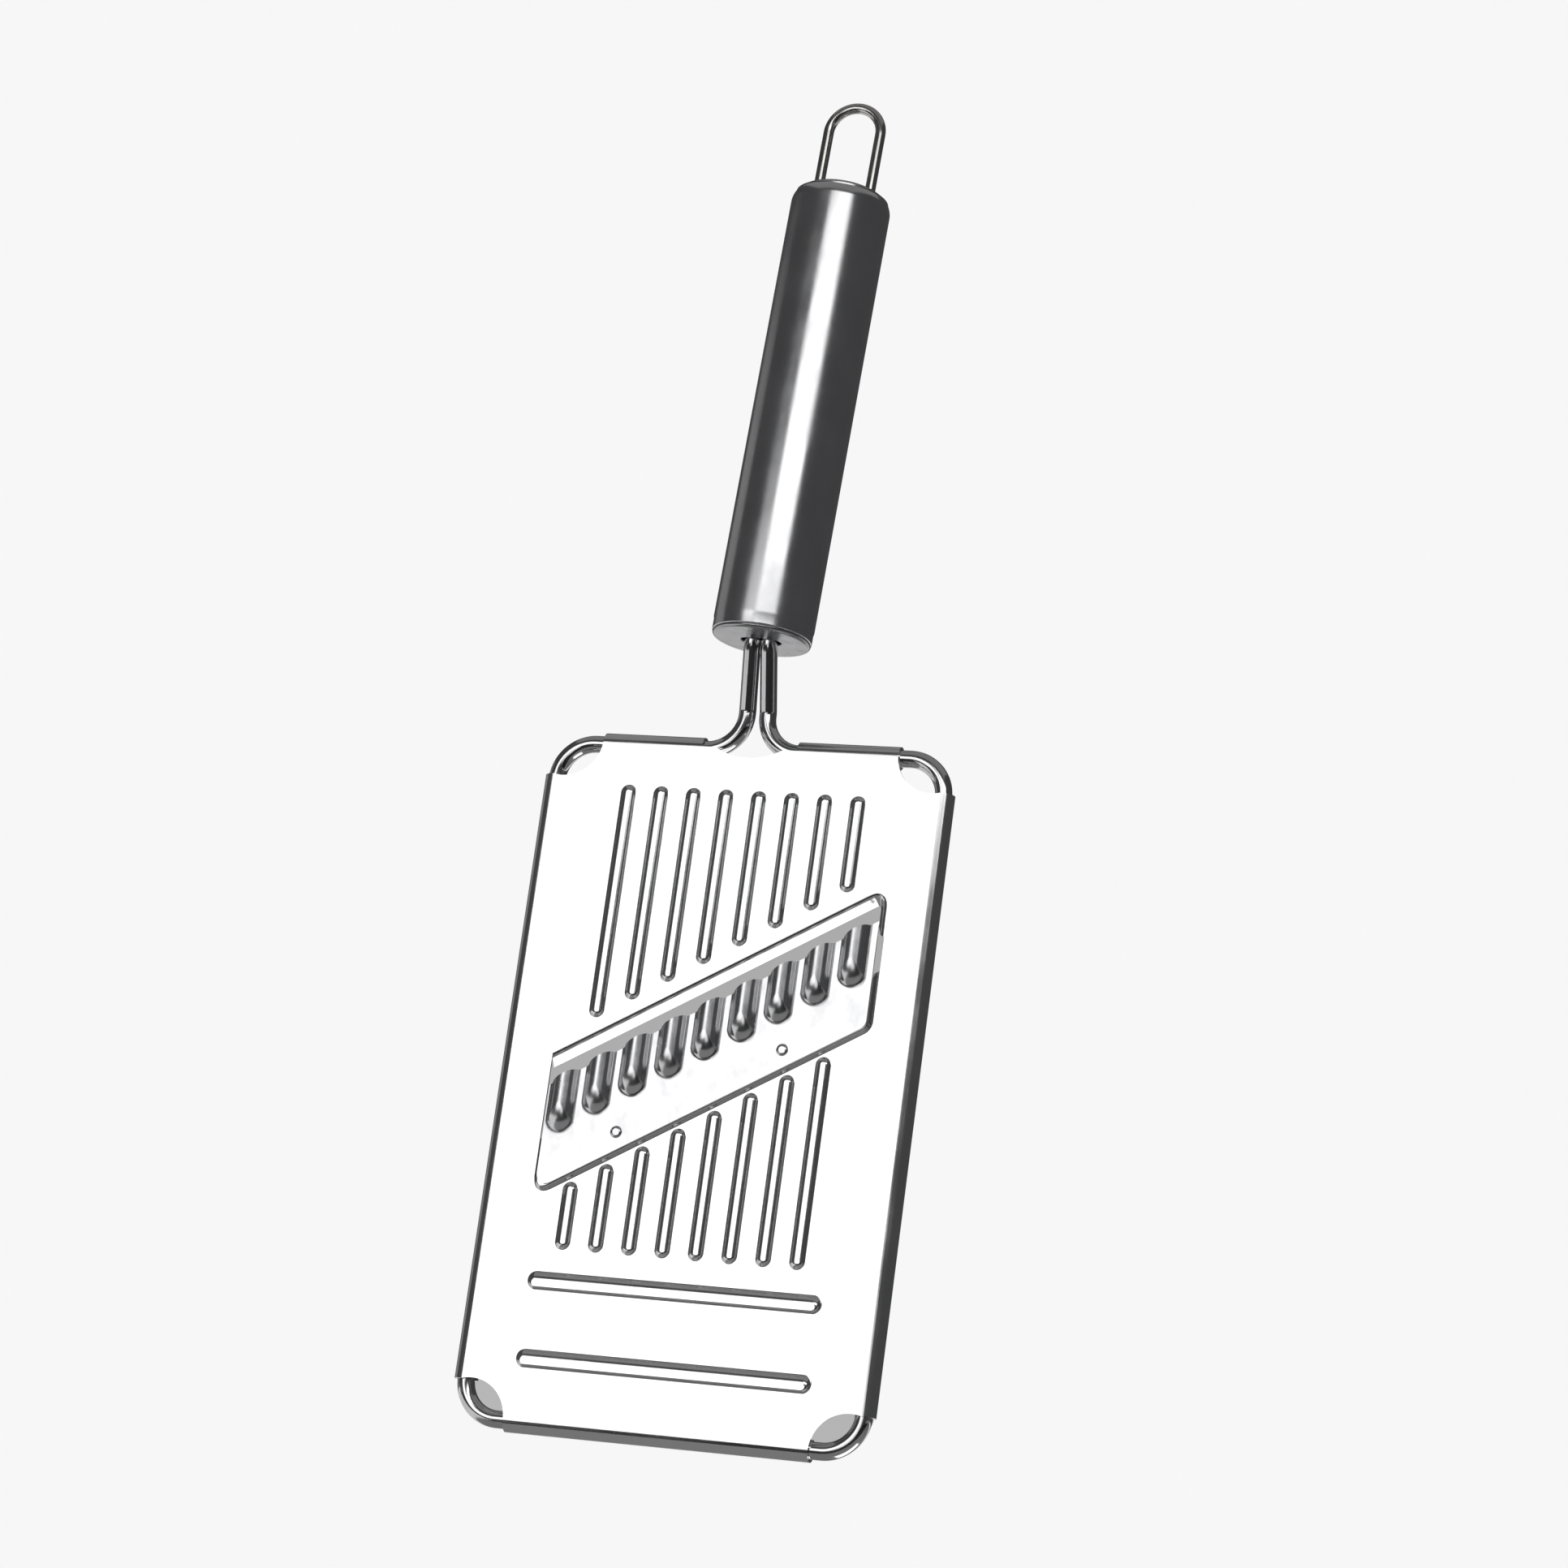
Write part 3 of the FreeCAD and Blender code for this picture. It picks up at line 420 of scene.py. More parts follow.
def grain(tree, place, scale, turn=(0, 0, 0), detail=4.0):
    """Noise stretched by a scale for each axis, in cells per metre."""
    mapping = tree.nodes.new("ShaderNodeMapping")
    mapping.inputs["Scale"].default_value = scale
    mapping.inputs["Rotation"].default_value = turn
    noise = tree.nodes.new("ShaderNodeTexNoise")
    noise.inputs["Scale"].default_value = 1.0
    noise.inputs["Detail"].default_value = detail
    noise.inputs["Roughness"].default_value = 0.6
    tree.links.new(place, mapping.inputs["Vector"])
    tree.links.new(mapping.outputs["Vector"], noise.inputs["Vector"])
    return noise.outputs["Fac"]


def spread(tree, value, low, high, start=0.3, stop=0.7):
    """Map a noise's middle range onto a range of another quantity."""
    node = tree.nodes.new("ShaderNodeMapRange")
    node.inputs["From Min"].default_value = start
    node.inputs["From Max"].default_value = stop
    node.inputs["To Min"].default_value = low
    node.inputs["To Max"].default_value = high
    tree.links.new(value, node.inputs["Value"])
    return node.outputs["Result"]


def bump(tree, shader, height, distance, under=None):
    """Bump of a height in metres on the shader's normal, on top of another if given."""
    node = tree.nodes.new("ShaderNodeBump")
    node.inputs["Strength"].default_value = 1.0
    node.inputs["Distance"].default_value = distance
    tree.links.new(height, node.inputs["Height"])
    if under:
        tree.links.new(under, node.inputs["Normal"])
    tree.links.new(node.outputs["Normal"], shader.inputs["Normal"])
    return node.outputs["Normal"]


def polished_sheet():
    """Mirror-bright sheet with faint waviness and the odd fine scratch."""
    material, tree, shader, place = new_finish("polished_sheet", finishes().sheet, 0.14)
    clouds = grain(tree, place, (60, 60, 60), detail=3.0)
    tree.links.new(spread(tree, clouds, 0.11, 0.19), shader.inputs["Roughness"])
    waves = grain(tree, place, (45, 45, 30), detail=1.0)
    soft = bump(tree, shader, waves, 0.00002)
    lines = grain(tree, place, (2500, 2500, 60), turn=(0, 0.35, 0))
    bump(tree, shader, lines, 0.0000006, under=soft)
    return material


def hardened_blade():
    """Ground blade steel, with fine lines along the cutting edge."""
    material, tree, shader, place = new_finish("hardened_blade", finishes().blade, 0.22)
    patches = grain(tree, place, (220, 220, 160), detail=3.0)
    tree.links.new(spread(tree, patches, 0.17, 0.28), shader.inputs["Roughness"])
    lines = grain(tree, place, (90, 3000, 3000), turn=(0, sizes().slant, 0))
    bump(tree, shader, lines, 0.0000012)
    return material


def drawn_wire(name, base, roughness):
    """Bright drawn wire with slight unevenness."""
    material, tree, shader, place = new_finish(name, base, roughness)
    patches = grain(tree, place, (180, 180, 180), detail=3.0)
    tree.links.new(spread(tree, patches, roughness * 0.8, roughness * 1.35),
                   shader.inputs["Roughness"])
    pits = grain(tree, place, (900, 900, 900), detail=2.0)
    bump(tree, shader, pits, 0.0000007)
    return material


def frame_steel():
    """The frame's polished wire."""
    return drawn_wire("frame_steel", finishes().wire, 0.12)


def loop_steel():
    """The hanging loop's bright wire."""
    return drawn_wire("loop_steel", finishes().loop, 0.16)


def rivet_steel():
    """Small bright rivet heads."""
    return drawn_wire("rivet_steel", finishes().wire, 0.18)


def satin_tube():
    """Satin tube, brushed round its length so highlights spread up and down."""
    material, tree, shader, place = new_finish("satin_tube", finishes().tube, 0.2)
    patches = grain(tree, place, (110, 110, 70), detail=4.0)
    tree.links.new(spread(tree, patches, 0.17, 0.27), shader.inputs["Roughness"])
    lines = grain(tree, place, (260, 260, 5200), turn=(0, -sizes().tilt, 0))
    bump(tree, shader, lines, 0.0000022)
    return material


def cap_steel():
    """Pressed cap with fine turning marks."""
    material, tree, shader, place = new_finish("cap_steel", finishes().cap, 0.22)
    patches = grain(tree, place, (300, 300, 300), detail=3.0)
    tree.links.new(spread(tree, patches, 0.18, 0.3), shader.inputs["Roughness"])
    marks = grain(tree, place, (1200, 1200, 1200), detail=2.0)
    bump(tree, shader, marks, 0.0000015)
    return material


def weld_metal():
    """Dull welded bead with ripples and heat tint."""
    material, tree, shader, place = new_finish("weld_metal", finishes().weld, 0.42)
    tint = tree.nodes.new("ShaderNodeValToRGB")
    tint.color_ramp.elements[0].color = (0.30, 0.24, 0.19, 1.0)
    tint.color_ramp.elements[1].color = (*finishes().weld, 1.0)
    patches = grain(tree, place, (500, 500, 500), detail=3.0)
    tree.links.new(patches, tint.inputs["Fac"])
    tree.links.new(tint.outputs["Color"], shader.inputs["Base Color"])
    ripples = grain(tree, place, (700, 700, 1800), detail=2.0)
    bump(tree, shader, ripples, 0.00006)
    return material


FINISHES = {
    "polished_sheet": polished_sheet,
    "hardened_blade": hardened_blade,
    "frame_steel": frame_steel,
    "satin_tube": satin_tube,
    "cap_steel": cap_steel,
    "loop_steel": loop_steel,
    "rivet_steel": rivet_steel,
    "weld_metal": weld_metal,
}


# ------------------------------------------------------------------------------ pressed plate
def notch_arc(x, z, radius, planes):
    """Arc of a round notch, trimmed to the flat sheet by planes given as (point, normal)."""
    face = -sizes().hem_radius
    bpy.ops.mesh.primitive_circle_add(vertices=96, radius=radius, location=(x, face, z),
                                      rotation=(math.pi / 2, 0, 0))
    for point, normal in planes:
        bpy.ops.mesh.bisect(plane_co=point, plane_no=normal, clear_outer=True)
        choose("VERT", lambda v: near(math.hypot(v.co.x - x, v.co.z - z), radius, 0.05 * MM))


def join_ends(first, second):
    """Straight edge between the outline's vertices nearest two (x, z) places."""
    _, vertices = parts_of("VERT")
    ends = [min(vertices, key=lambda v: math.hypot(v.co.x - x, v.co.z - z)).index
            for x, z in (first, second)]
    choose("VERT", lambda v: v.index in ends)
    bpy.ops.mesh.edge_face_add()


def sheet_outline():
    """Edges round the flat sheet, with a round notch at each corner and one at the neck."""
    s = sizes()
    side = s.plate_width / 2 - s.hem_radius
    low, high = s.hem_radius, s.plate_length - s.hem_radius
    arc_x = s.plate_width / 2 - s.notch_side
    run = s.notch_radius
    end_x = arc_x - math.sqrt(run ** 2 - (low - s.notch_end) ** 2)
    end_z = s.notch_end + math.sqrt(run ** 2 - (side - arc_x) ** 2)
    top_end_z = s.plate_length - end_z
    for sign in (-1, 1):
        edge = ((sign * side, 0, 0), (sign, 0, 0))
        notch_arc(sign * arc_x, s.notch_end, run, [edge, ((0, 0, low), (0, 0, -1))])
        notch_arc(sign * arc_x, s.plate_length - s.notch_end, run,
                  [edge, ((0, 0, high), (0, 0, 1))])
    neck_z = s.plate_length + s.neck_radius - s.neck_depth
    notch_arc(0, neck_z, s.neck_radius, [((0, 0, high), (0, 0, 1))])
    neck_x = math.sqrt(s.neck_radius ** 2 - (neck_z - high) ** 2)
    hem_x = math.sqrt(s.neck_depth * (2 * s.neck_radius - s.neck_depth))
    join_ends((-end_x, low), (end_x, low))
    for sign in (-1, 1):
        join_ends((sign * side, end_z), (sign * side, top_end_z))
        choose("VERT", lambda v: near(v.co.x, sign * neck_x) and near(v.co.z, high))
        push(Vector((sign * (hem_x - neck_x), 0, 0)))
        join_ends((sign * hem_x, high), (sign * end_x, high))
    return hem_x, end_x


def slanted_face(left, right, low, high, face_y, lower_radius, upper_right_radius=0.0):
    """Flat slanted face between two levels, with rounded corners."""
    bpy.ops.mesh.primitive_plane_add(size=1, location=(0, face_y, 0),
                                     rotation=(math.pi / 2, 0, 0))
    corners = [(-0.5, -0.5, left, low), (0.5, -0.5, right, low), (0.5, 0.5, right, high),
               (-0.5, 0.5, left, high)]
    for x, z, to_x, level in corners:
        choose("VERT", lambda v: near(v.co.x, x) and near(v.co.z, z))
        bpy.ops.transform.translate(value=(to_x - x, 0, oblique(level, to_x) - z))
    half_turn = math.pi / 4 - sizes().slant / 2
    rounds = [(left, low, lower_radius / math.tan(half_turn)),
              (right, low, lower_radius * math.tan(half_turn)),
              (right, high, upper_right_radius / math.tan(half_turn))]
    for x, level, reach in rounds:
        if reach:
            choose("VERT", lambda v: near(v.co.x, x) and near(v.co.z, oblique(level, x))
                   and near(v.co.y, face_y))
            bpy.ops.mesh.bevel(offset=reach, segments=10, affect="VERTICES")


def seat_cut(keep_below):
    """Cut along the seat's upper edge, with the walls running out in a taper past it."""
    s = sizes()
    point = (0, -s.hem_radius - s.seat_height, s.seat_top)
    normal = (-math.sin(s.slant), -s.seat_taper, math.cos(s.slant))
    bpy.ops.mesh.bisect(plane_co=point, plane_no=normal, clear_outer=keep_below,
                        clear_inner=not keep_below)


def window_and_seat_face():
    """Face over the seat and the window above it."""
    s = sizes()
    slanted_face(-s.window_left, s.window_right, s.seat_bottom, s.window_top, -s.hem_radius,
                 s.seat_corner, s.window_corner)


def bend_lip():
    """Strip bent back from the window's upper edge, round its corner and down its right side."""
    s = sizes()
    left_slant, runout_slant, clearance = 0.12, 1.4, 0.3 * MM
    put_down()
    bpy.ops.mesh.primitive_plane_add(size=1)
    lip = start_piece("window_lip")
    bpy.ops.mesh.delete(type="VERT")
    window_and_seat_face()
    choose("FACE", lambda f: True)
    steps = [(run, -rise) for run, rise in arc_steps(s.lip_radius, 0.0, s.lip_angle, 9)]
    steps.append((s.lip_run * math.cos(s.lip_angle), -s.lip_run * math.sin(s.lip_angle)))
    press(steps)
    bpy.ops.mesh.delete(type="FACE")
    reach = sum(run for run, _ in steps) + clearance
    bpy.ops.mesh.select_all(action="SELECT")
    seat_cut(keep_below=False)
    choose("FACE", all_at(lambda co: co.x < reach - s.window_left))
    bpy.ops.mesh.delete(type="FACE")
    _, vertices = parts_of("VERT")
    ends = [v.co.copy() for v in vertices if v.co.x < reach - s.window_left]
    for end in ends:
        choose("VERT", lambda v: (v.co - end).length < 0.001 * MM)
        slide = -s.window_left - left_slant * (end.y + s.hem_radius) - end.x
        bpy.ops.transform.translate(value=(slide, 0, slide * math.tan(s.slant)))
    choose("FACE", all_at(lambda co: co.x > s.window_right - reach))
    bpy.ops.mesh.bisect(plane_co=(0, -s.hem_radius, s.side_lip_end),
                        plane_no=(0, -runout_slant, 1), clear_inner=True)
    put_down()
    return lip


def border_strips():
    """Cut narrow strips inside the flat sheet's edges, so that its middle stays true."""
    s = sizes()
    strip = 0.25 * MM
    side = s.plate_width / 2 - s.hem_radius - strip
    low, high = s.hem_radius + strip, s.plate_length - s.hem_radius - strip
    for point, normal in (((side, 0, 0), (1, 0, 0)), ((-side, 0, 0), (1, 0, 0)),
                          ((0, 0, low), (0, 0, 1)), ((0, 0, high), (0, 0, 1))):
        bpy.ops.mesh.select_all(action="SELECT")
        bpy.ops.mesh.bisect(plane_co=point, plane_no=normal)


def roll_hem(test, centre, axis):
    """Roll the sheet's edges that pass a test round the frame wire."""
    choose("EDGE", all_at(test))
    swing(42, math.radians(248), centre, axis)


def roll_hems(hem_x, end_x):
    """Side hems, bottom hem, and the two top hems beside the neck."""
    s = sizes()
    side = s.plate_width / 2 - s.hem_radius
    low, high = s.hem_radius, s.plate_length - s.hem_radius
    face = -s.hem_radius
    slack = 0.05 * MM
    for sign in (-1, 1):
        roll_hem(lambda co: near(co.x, sign * side) and near(co.y, face)
                 and s.notch_radius < co.z < s.plate_length - s.notch_radius,
                 (sign * side, 0, 0), (0, 0, sign))
        roll_hem(lambda co: near(co.z, high) and near(co.y, face)
                 and hem_x - slack < sign * co.x < end_x + slack, (0, 0, high), (-1, 0, 0))
    roll_hem(lambda co: near(co.z, low) and near(co.y, face), (0, 0, low), (1, 0, 0))


def add_bead_faces():
    """Round-ended faces for both rows of ribs and the two bars."""
    s = sizes()
    face, radius = -s.hem_radius, s.rib_width / 2
    for i in range(s.ribs):
        x = s.rib_pitch * (i - (s.ribs - 1) / 2)
        low = oblique(s.window_top + s.upper_rib_gap, x) + radius
        round_ended((x, low), s.upper_rib_top - radius - low, radius, True, face)
        low = s.lower_rib_bottom + radius
        high = oblique(s.seat_bottom, x) - (radius + HAIR) / math.cos(s.slant)
        round_ended((x, low), high - low, radius, True, face)
    radius = s.bar_width / 2
    for level in (s.upper_bar, s.lower_bar):
        round_ended((radius - s.bar_reach, level), 2 * (s.bar_reach - radius), radius, False, face)


def slide_rings(steps, face, aside, test):
    """Slide each pressed ring aside, so that one wall rises gently and the other steeply."""
    lift = travel = 0.0
    for run, rise in steps:
        lift += rise
        travel += run
        choose("VERT", lambda v: near(v.co.y, face - lift, 0.2 * rise) and test(v.co))
        bpy.ops.transform.translate(value=aside * travel)


def press_plate():
    """Press the ribs, the bars and the blade's seat out of the flat sheet."""
    s = sizes()
    face = -s.hem_radius
    parting = (s.upper_bar + s.lower_rib_bottom) / 2

    def round_ended_face(f, width):
        """Whether a face is a bead's, by its corners and its narrower side."""
        spans = [max(v.co[i] for v in f.verts) - min(v.co[i] for v in f.verts) for i in (0, 2)]
        return len(f.verts) == BEAD_CUTS and near(min(spans), width, HAIR)

    def seat_or_window_face(f):
        """Whether a face is part of the raised seat and the window's waste above it."""
        levels = [v.co.z - oblique(0, v.co.x) for v in f.verts]
        return (any(v.co.y < face - 0.001 * MM for v in f.verts)
                and s.seat_bottom - 1 * MM < min(levels) and max(levels) < s.window_top + 1 * MM)

    for width, crown, height, aside, test in (
            (s.rib_width, s.rib_crown, s.rib_height, Vector((s.rib_lean, 0, 0)),
             lambda co: co.z > parting),
            (s.bar_width, s.bar_crown, s.bar_height, Vector((0, 0, -s.bar_lean)),
             lambda co: co.z < parting)):
        choose("FACE", lambda f: round_ended_face(f, width))
        steps = press_steps(width / 2 - crown - CROWN_SLACK, height, s.rib_foot)
        press(steps)
        slide_rings(steps, face, aside, test)
    # the filled sheet is all triangles, and a bead's border quads, so this is the seat's face
    choose("FACE", lambda f: 4 < len(f.verts) < BEAD_CUTS and near(f.calc_center_median().y, face))
    press(press_steps(s.seat_run, s.seat_height, s.seat_foot))
    choose("FACE", seat_or_window_face)
    seat_cut(keep_below=True)


class SLICER_OT_plate(Operator):
    """Press, pierce and hem the plate"""

    bl_idname = "slicer.plate"
    bl_label = "Pressed plate"

    def execute(self, context):
        s = sizes()
        bpy.ops.mesh.primitive_plane_add(size=1)
        plate = start_piece("pressed_plate")
        bpy.ops.mesh.delete(type="VERT")
        hem_x, end_x = sheet_outline()
        add_bead_faces()
        window_and_seat_face()
        bpy.ops.mesh.select_all(action="SELECT")
        bpy.ops.mesh.fill()
        press_plate()
        border_strips()
        roll_hems(hem_x, end_x)
        lip = bend_lip()
        plate.select_set(True)
        lip.select_set(True)
        context.view_layer.objects.active = plate
        bpy.ops.object.join()
        take_up(plate)
        face_outwards()
        put_down()
        context.view_layer.objects.active = plate
        add_modifier(plate, "SOLIDIFY", thickness=s.sheet_thick, offset=-1.0, use_even_offset=True,
                     use_quality_normals=True)
        hand_over(plate, ["slicer_plate"], "polished_sheet", plate_home())
        return {"FINISHED"}


# ------------------------------------------------------------------------------ blade and rivets
def blade_land():
    """Where the blade's flat front lies."""
    s = sizes()
    return -s.hem_radius - s.seat_height - s.blade_thick


class SLICER_OT_blade(Operator):
    """Shape the fluted blade and grind its edge"""

    bl_idname = "slicer.blade"
    bl_label = "Fluted blade"

    def execute(self, context):
        s = sizes()
        land = blade_land()
        beyond, edge_slope = 12 * MM, 0.15
        left, right = s.seat_run - s.window_left, s.window_right - s.seat_run
        bpy.ops.mesh.primitive_plane_add(size=1)
        blade = start_piece("fluted_blade")
        bpy.ops.mesh.delete(type="VERT")
        slanted_face(left, right, s.seat_bottom + s.seat_run / math.cos(s.slant),
                     s.cutting_level + beyond, land, s.seat_corner - s.seat_run / 2)
        choose("FACE", lambda f: True)
        bpy.ops.mesh.delete(type="ONLY_FACE")
        radius = s.flute_width / 2
        for i in range(s.flutes):
            x = s.flute_pitch * (i - (s.flutes - 1) / 2)
            low = oblique(s.flute_start, x) + radius
            high = oblique(s.cutting_level, x) + beyond - 2.5 * radius
            round_ended((x, low), high - low, radius, True, land)
        bpy.ops.mesh.select_all(action="SELECT")
        bpy.ops.mesh.fill()
        choose("FACE", lambda f: len(f.verts) == BEAD_CUTS)
        steps = press_steps(radius - CROWN_SLACK, s.flute_height, s.flute_foot)
        press(steps)
        middle = (s.flute_start + s.cutting_level + beyond) / 2
        slide_rings(steps, land, Vector((0, 0, s.flute_draw)),
                    lambda co: co.z < oblique(middle, co.x))
        for x, sign in ((left, -1), (right, 1)):
            bpy.ops.mesh.select_all(action="SELECT")
            bpy.ops.mesh.bisect(plane_co=(x, 0, oblique(s.seat_top, x)), clear_outer=True,
                                plane_no=(sign * (s.cutting_level - s.seat_top), 0, s.blade_lean))
        face_outwards()
        put_down()
        context.view_layer.objects.active = blade
        add_modifier(blade, "SOLIDIFY", thickness=s.blade_thick, offset=-1.0, use_even_offset=True,
                     use_quality_normals=True)
        take_up(blade)
        bpy.ops.mesh.select_all(action="SELECT")
        bpy.ops.mesh.bisect(plane_co=(0, 0, s.cutting_level), clear_outer=True, use_fill=True,
                            plane_no=(-math.sin(s.slant), edge_slope, math.cos(s.slant)))
        hand_over(blade, ["wave_blade"], "hardened_blade", plate_home())
        return {"FINISHED"}


class SLICER_OT_rivets(Operator):
    """Set the two rivets that hold the blade"""

    bl_idname = "slicer.rivets"
    bl_label = "Blade rivets"

    def execute(self, context):
        s = sizes()
        land = blade_land()
        wall, foot, border = 0.5 * s.rivet_radius, 0.1 * s.rivet_radius, 0.02 * s.rivet_radius
        for side, sign in (("left", -1), ("right", 1)):
            x = sign * s.rivet_reach
            bpy.ops.mesh.primitive_circle_add(
                vertices=48, radius=s.rivet_radius, fill_type="NGON",
                location=(x, land, oblique(s.rivet_level, x)), rotation=(math.pi / 2, 0, 0))
            rivet = start_piece(f"rivet_{side}")
            press(press_steps(wall, s.rivet_height, foot), border)
            choose("EDGE", lambda e: e.is_boundary)
            push(Vector((0, s.blade_thick, 0)))
            bpy.ops.mesh.edge_face_add()
            face_outwards()
            hand_over(rivet, [f"blade_rivet_{side}"], "rivet_steel", plate_home())
        return {"FINISHED"}


# ------------------------------------------------------------------------------ frame and handle
class SLICER_OT_frame_wire(Operator):
    """Bend the frame wire round the plate and up into the handle"""

    bl_idname = "slicer.frame_wire"
    bl_label = "Frame wire"

    def execute(self, context):
        s = sizes()
        side = s.plate_width / 2 - s.hem_radius
        low, high = s.hem_radius, s.plate_length - s.hem_radius
        spread_x = s.wire_radius + s.neck_gap / 2
        kink = Matrix.Translation((0, 0, kink_level())) @ Matrix.Rotation(s.tilt, 4, "Y")

        def leg(sign):
            """One leg's points, from its end in the handle down to the plate's top edge."""
            points = [Vector((sign * s.leg_axis, -s.neck_forward, s.neck_rise + s.leg_depth)),
                      Vector((sign * s.leg_axis, -s.neck_forward, s.neck_rise - s.return_drop)),
                      Vector((sign * spread_x, 0, 0))]
            return [kink @ p for p in points] + [Vector((sign * spread_x, 0, high))]

        corners = [Vector((-side, 0, high)), Vector((-side, 0, low)), Vector((side, 0, low)),
                   Vector((side, 0, high))]
        ends = [s.return_radius, s.kink_radius, s.neck_bend]
        bends = ends + [s.corner_radius] * 4 + ends[::-1]
        points = leg(-1) + corners + leg(1)[::-1]
        wire = bend_wire("bent_frame_wire", points, bends, s.wire_radius, 40)
        hand_over(wire, ["frame_wire"], "frame_steel", plate_home())
        return {"FINISHED"}


class SLICER_OT_handle_tube(Operator):
    """Draw the tube with its rounded shoulder and crimped foot"""

    bl_idname = "slicer.handle_tube"
    bl_label = "Handle tube"

    def execute(self, context):
        s = sizes()
        crimp, squeeze = 3.2 * MM, 0.988
        bpy.ops.mesh.primitive_cylinder_add(vertices=144, radius=s.handle_radius,
                                            depth=s.handle_length,
                                            location=(0, 0, s.handle_length / 2))
        tube = start_piece("satin_handle")
        choose("EDGE", all_at(lambda co: near(co.z, s.handle_length)))
        bpy.ops.mesh.bevel(offset=s.shoulder_radius, segments=16)
        choose("FACE", all_at(lambda co: near(co.z, 0)))
        bpy.ops.mesh.inset(thickness=s.handle_wall)
        push(Vector((0, 0, s.handle_length - 2 * s.handle_wall)))
        for level in (crimp, crimp * 0.8):
            bpy.ops.mesh.select_all(action="SELECT")
            bpy.ops.mesh.bisect(plane_co=(0, 0, level), plane_no=(0, 0, 1))
        choose("VERT", lambda v: v.co.z < crimp * 0.9)
        bpy.ops.transform.resize(value=(squeeze, squeeze, 1), center_override=(0, 0, 0))
        choose("EDGE", all_at(lambda co: near(co.z, 0)))
        bpy.ops.mesh.bevel(offset=0.3 * s.handle_wall, segments=4)
        face_outwards()
        hand_over(tube, ["handle_tube"], "satin_tube", handle_home())
        return {"FINISHED"}


class SLICER_OT_end_cap(Operator):
    """Press the end cap, with the slot that both wires pass through"""

    bl_idname = "slicer.end_cap"
    bl_label = "End cap"

    def execute(self, context):
        s = sizes()
        deep, draw_in, past = 2.5 * MM, 0.93, 1.02
        bpy.ops.mesh.primitive_cylinder_add(vertices=96, radius=s.cap_radius,
                                            depth=deep + s.cap_thick,
                                            location=(0, 0, (deep - s.cap_thick) / 2))
        cap = start_piece("pressed_cap")
        choose("EDGE", all_at(lambda co: near(co.z, -s.cap_thick)))
        bpy.ops.mesh.bevel(offset=0.75 * s.cap_thick, segments=6)
        choose("VERT", lambda v: v.co.z > 0)
        bpy.ops.transform.resize(value=(draw_in, draw_in, 1), center_override=(0, 0, 0))
        put_down()
        bpy.ops.mesh.primitive_cylinder_add(vertices=48, radius=s.slot_radius, depth=8 * deep)
        slot_tool = start_piece("slot_tool")
        for sign in (-1, 1):
            choose("VERT", lambda v: sign * v.co.x > 0.01 * MM)
            bpy.ops.transform.translate(value=(sign * (s.slot_reach - s.slot_radius), 0, 0))
        put_down()
        cap.select_set(True)
        context.view_layer.objects.active = cap
        add_modifier(cap, "BOOLEAN", object=slot_tool, operation="DIFFERENCE", solver="EXACT")
        bpy.data.objects.remove(slot_tool)
        take_up(cap)
        choose("EDGE", all_at(lambda co: near(co.z, -s.cap_thick)
                              and abs(co.x) < s.slot_reach * past
                              and abs(co.y) < s.slot_radius * past))
        bpy.ops.mesh.bevel(offset=s.cap_thick / 4, segments=3)
        face_outwards()
        hand_over(cap, ["handle_end_cap"], "cap_steel", handle_home())
        return {"FINISHED"}


class SLICER_OT_hanging_loop(Operator):
    """Bend the hanging loop"""

    bl_idname = "slicer.hanging_loop"
    bl_label = "Hanging loop"

    def execute(self, context):
        s = sizes()
        crest = s.handle_length + s.loop_height - s.loop_radius
        foot = s.handle_length - s.loop_depth
        x = s.loop_reach
        points = [Vector((-x, 0, foot)), Vector((-x, 0, crest)), Vector((x, 0, crest)),
                  Vector((x, 0, foot))]
        loop = bend_wire("bent_loop", points, [x, x], s.loop_radius, 32)
        hand_over(loop, ["hanging_loop"], "loop_steel", handle_home())
        return {"FINISHED"}


class SLICER_OT_welds(Operator):
    """Give the welds inside the handle their finish"""

    bl_idname = "slicer.welds"
    bl_label = "Weld beads"

    def execute(self, context):
        metal = weld_metal()
        for name in ("loop_weld_left", "loop_weld_right", "leg_weld_front", "leg_weld_back"):
            bead = frame["nodes"][name]
            bead.data.materials.clear()
            bead.data.materials.append(metal)
        return {"FINISHED"}


# ------------------------------------------------------------------------------ stage
FLOOR_LEVEL = PLATE_LOW.z - 0.30
CARD_DISTANCE = 1.5


def surface(name, tone, glow):
    """Grey material with a white glow of its own, and its node tree and shader."""
    material = bpy.data.materials.new(name)
    material.use_nodes = True
    shader = material.node_tree.nodes["Principled BSDF"]
    shader.inputs["Base Color"].default_value = (*tone, 1)
    shader.inputs["Emission Color"].default_value = (1, 1, 1, 1)
    shader.inputs["Emission Strength"].default_value = glow
    return material, material.node_tree, shader


def card(name, azimuth, elevation, width, height, strength):
    """Glowing card that faces the plate; azimuth 0 is in front of it and 90 on its right."""
    centre = plate_home() @ Vector((0, 0, sizes().plate_length / 2))
    a, e = math.radians(azimuth), math.radians(elevation)
    outward = Vector((math.sin(a) * math.cos(e), -math.cos(a) * math.cos(e), math.sin(e)))
    bpy.ops.mesh.primitive_plane_add(
        size=1, location=centre + outward * CARD_DISTANCE,
        rotation=(-outward).to_track_quat("-Z", "Y").to_euler())
    panel = bpy.context.object
    panel.name = name
    panel.scale = (width, height, 1)
    panel.data.materials.append(surface(name, (0.02, 0.02, 0.02), strength)[0])
    panel.visible_camera = False
    panel.visible_shadow = False


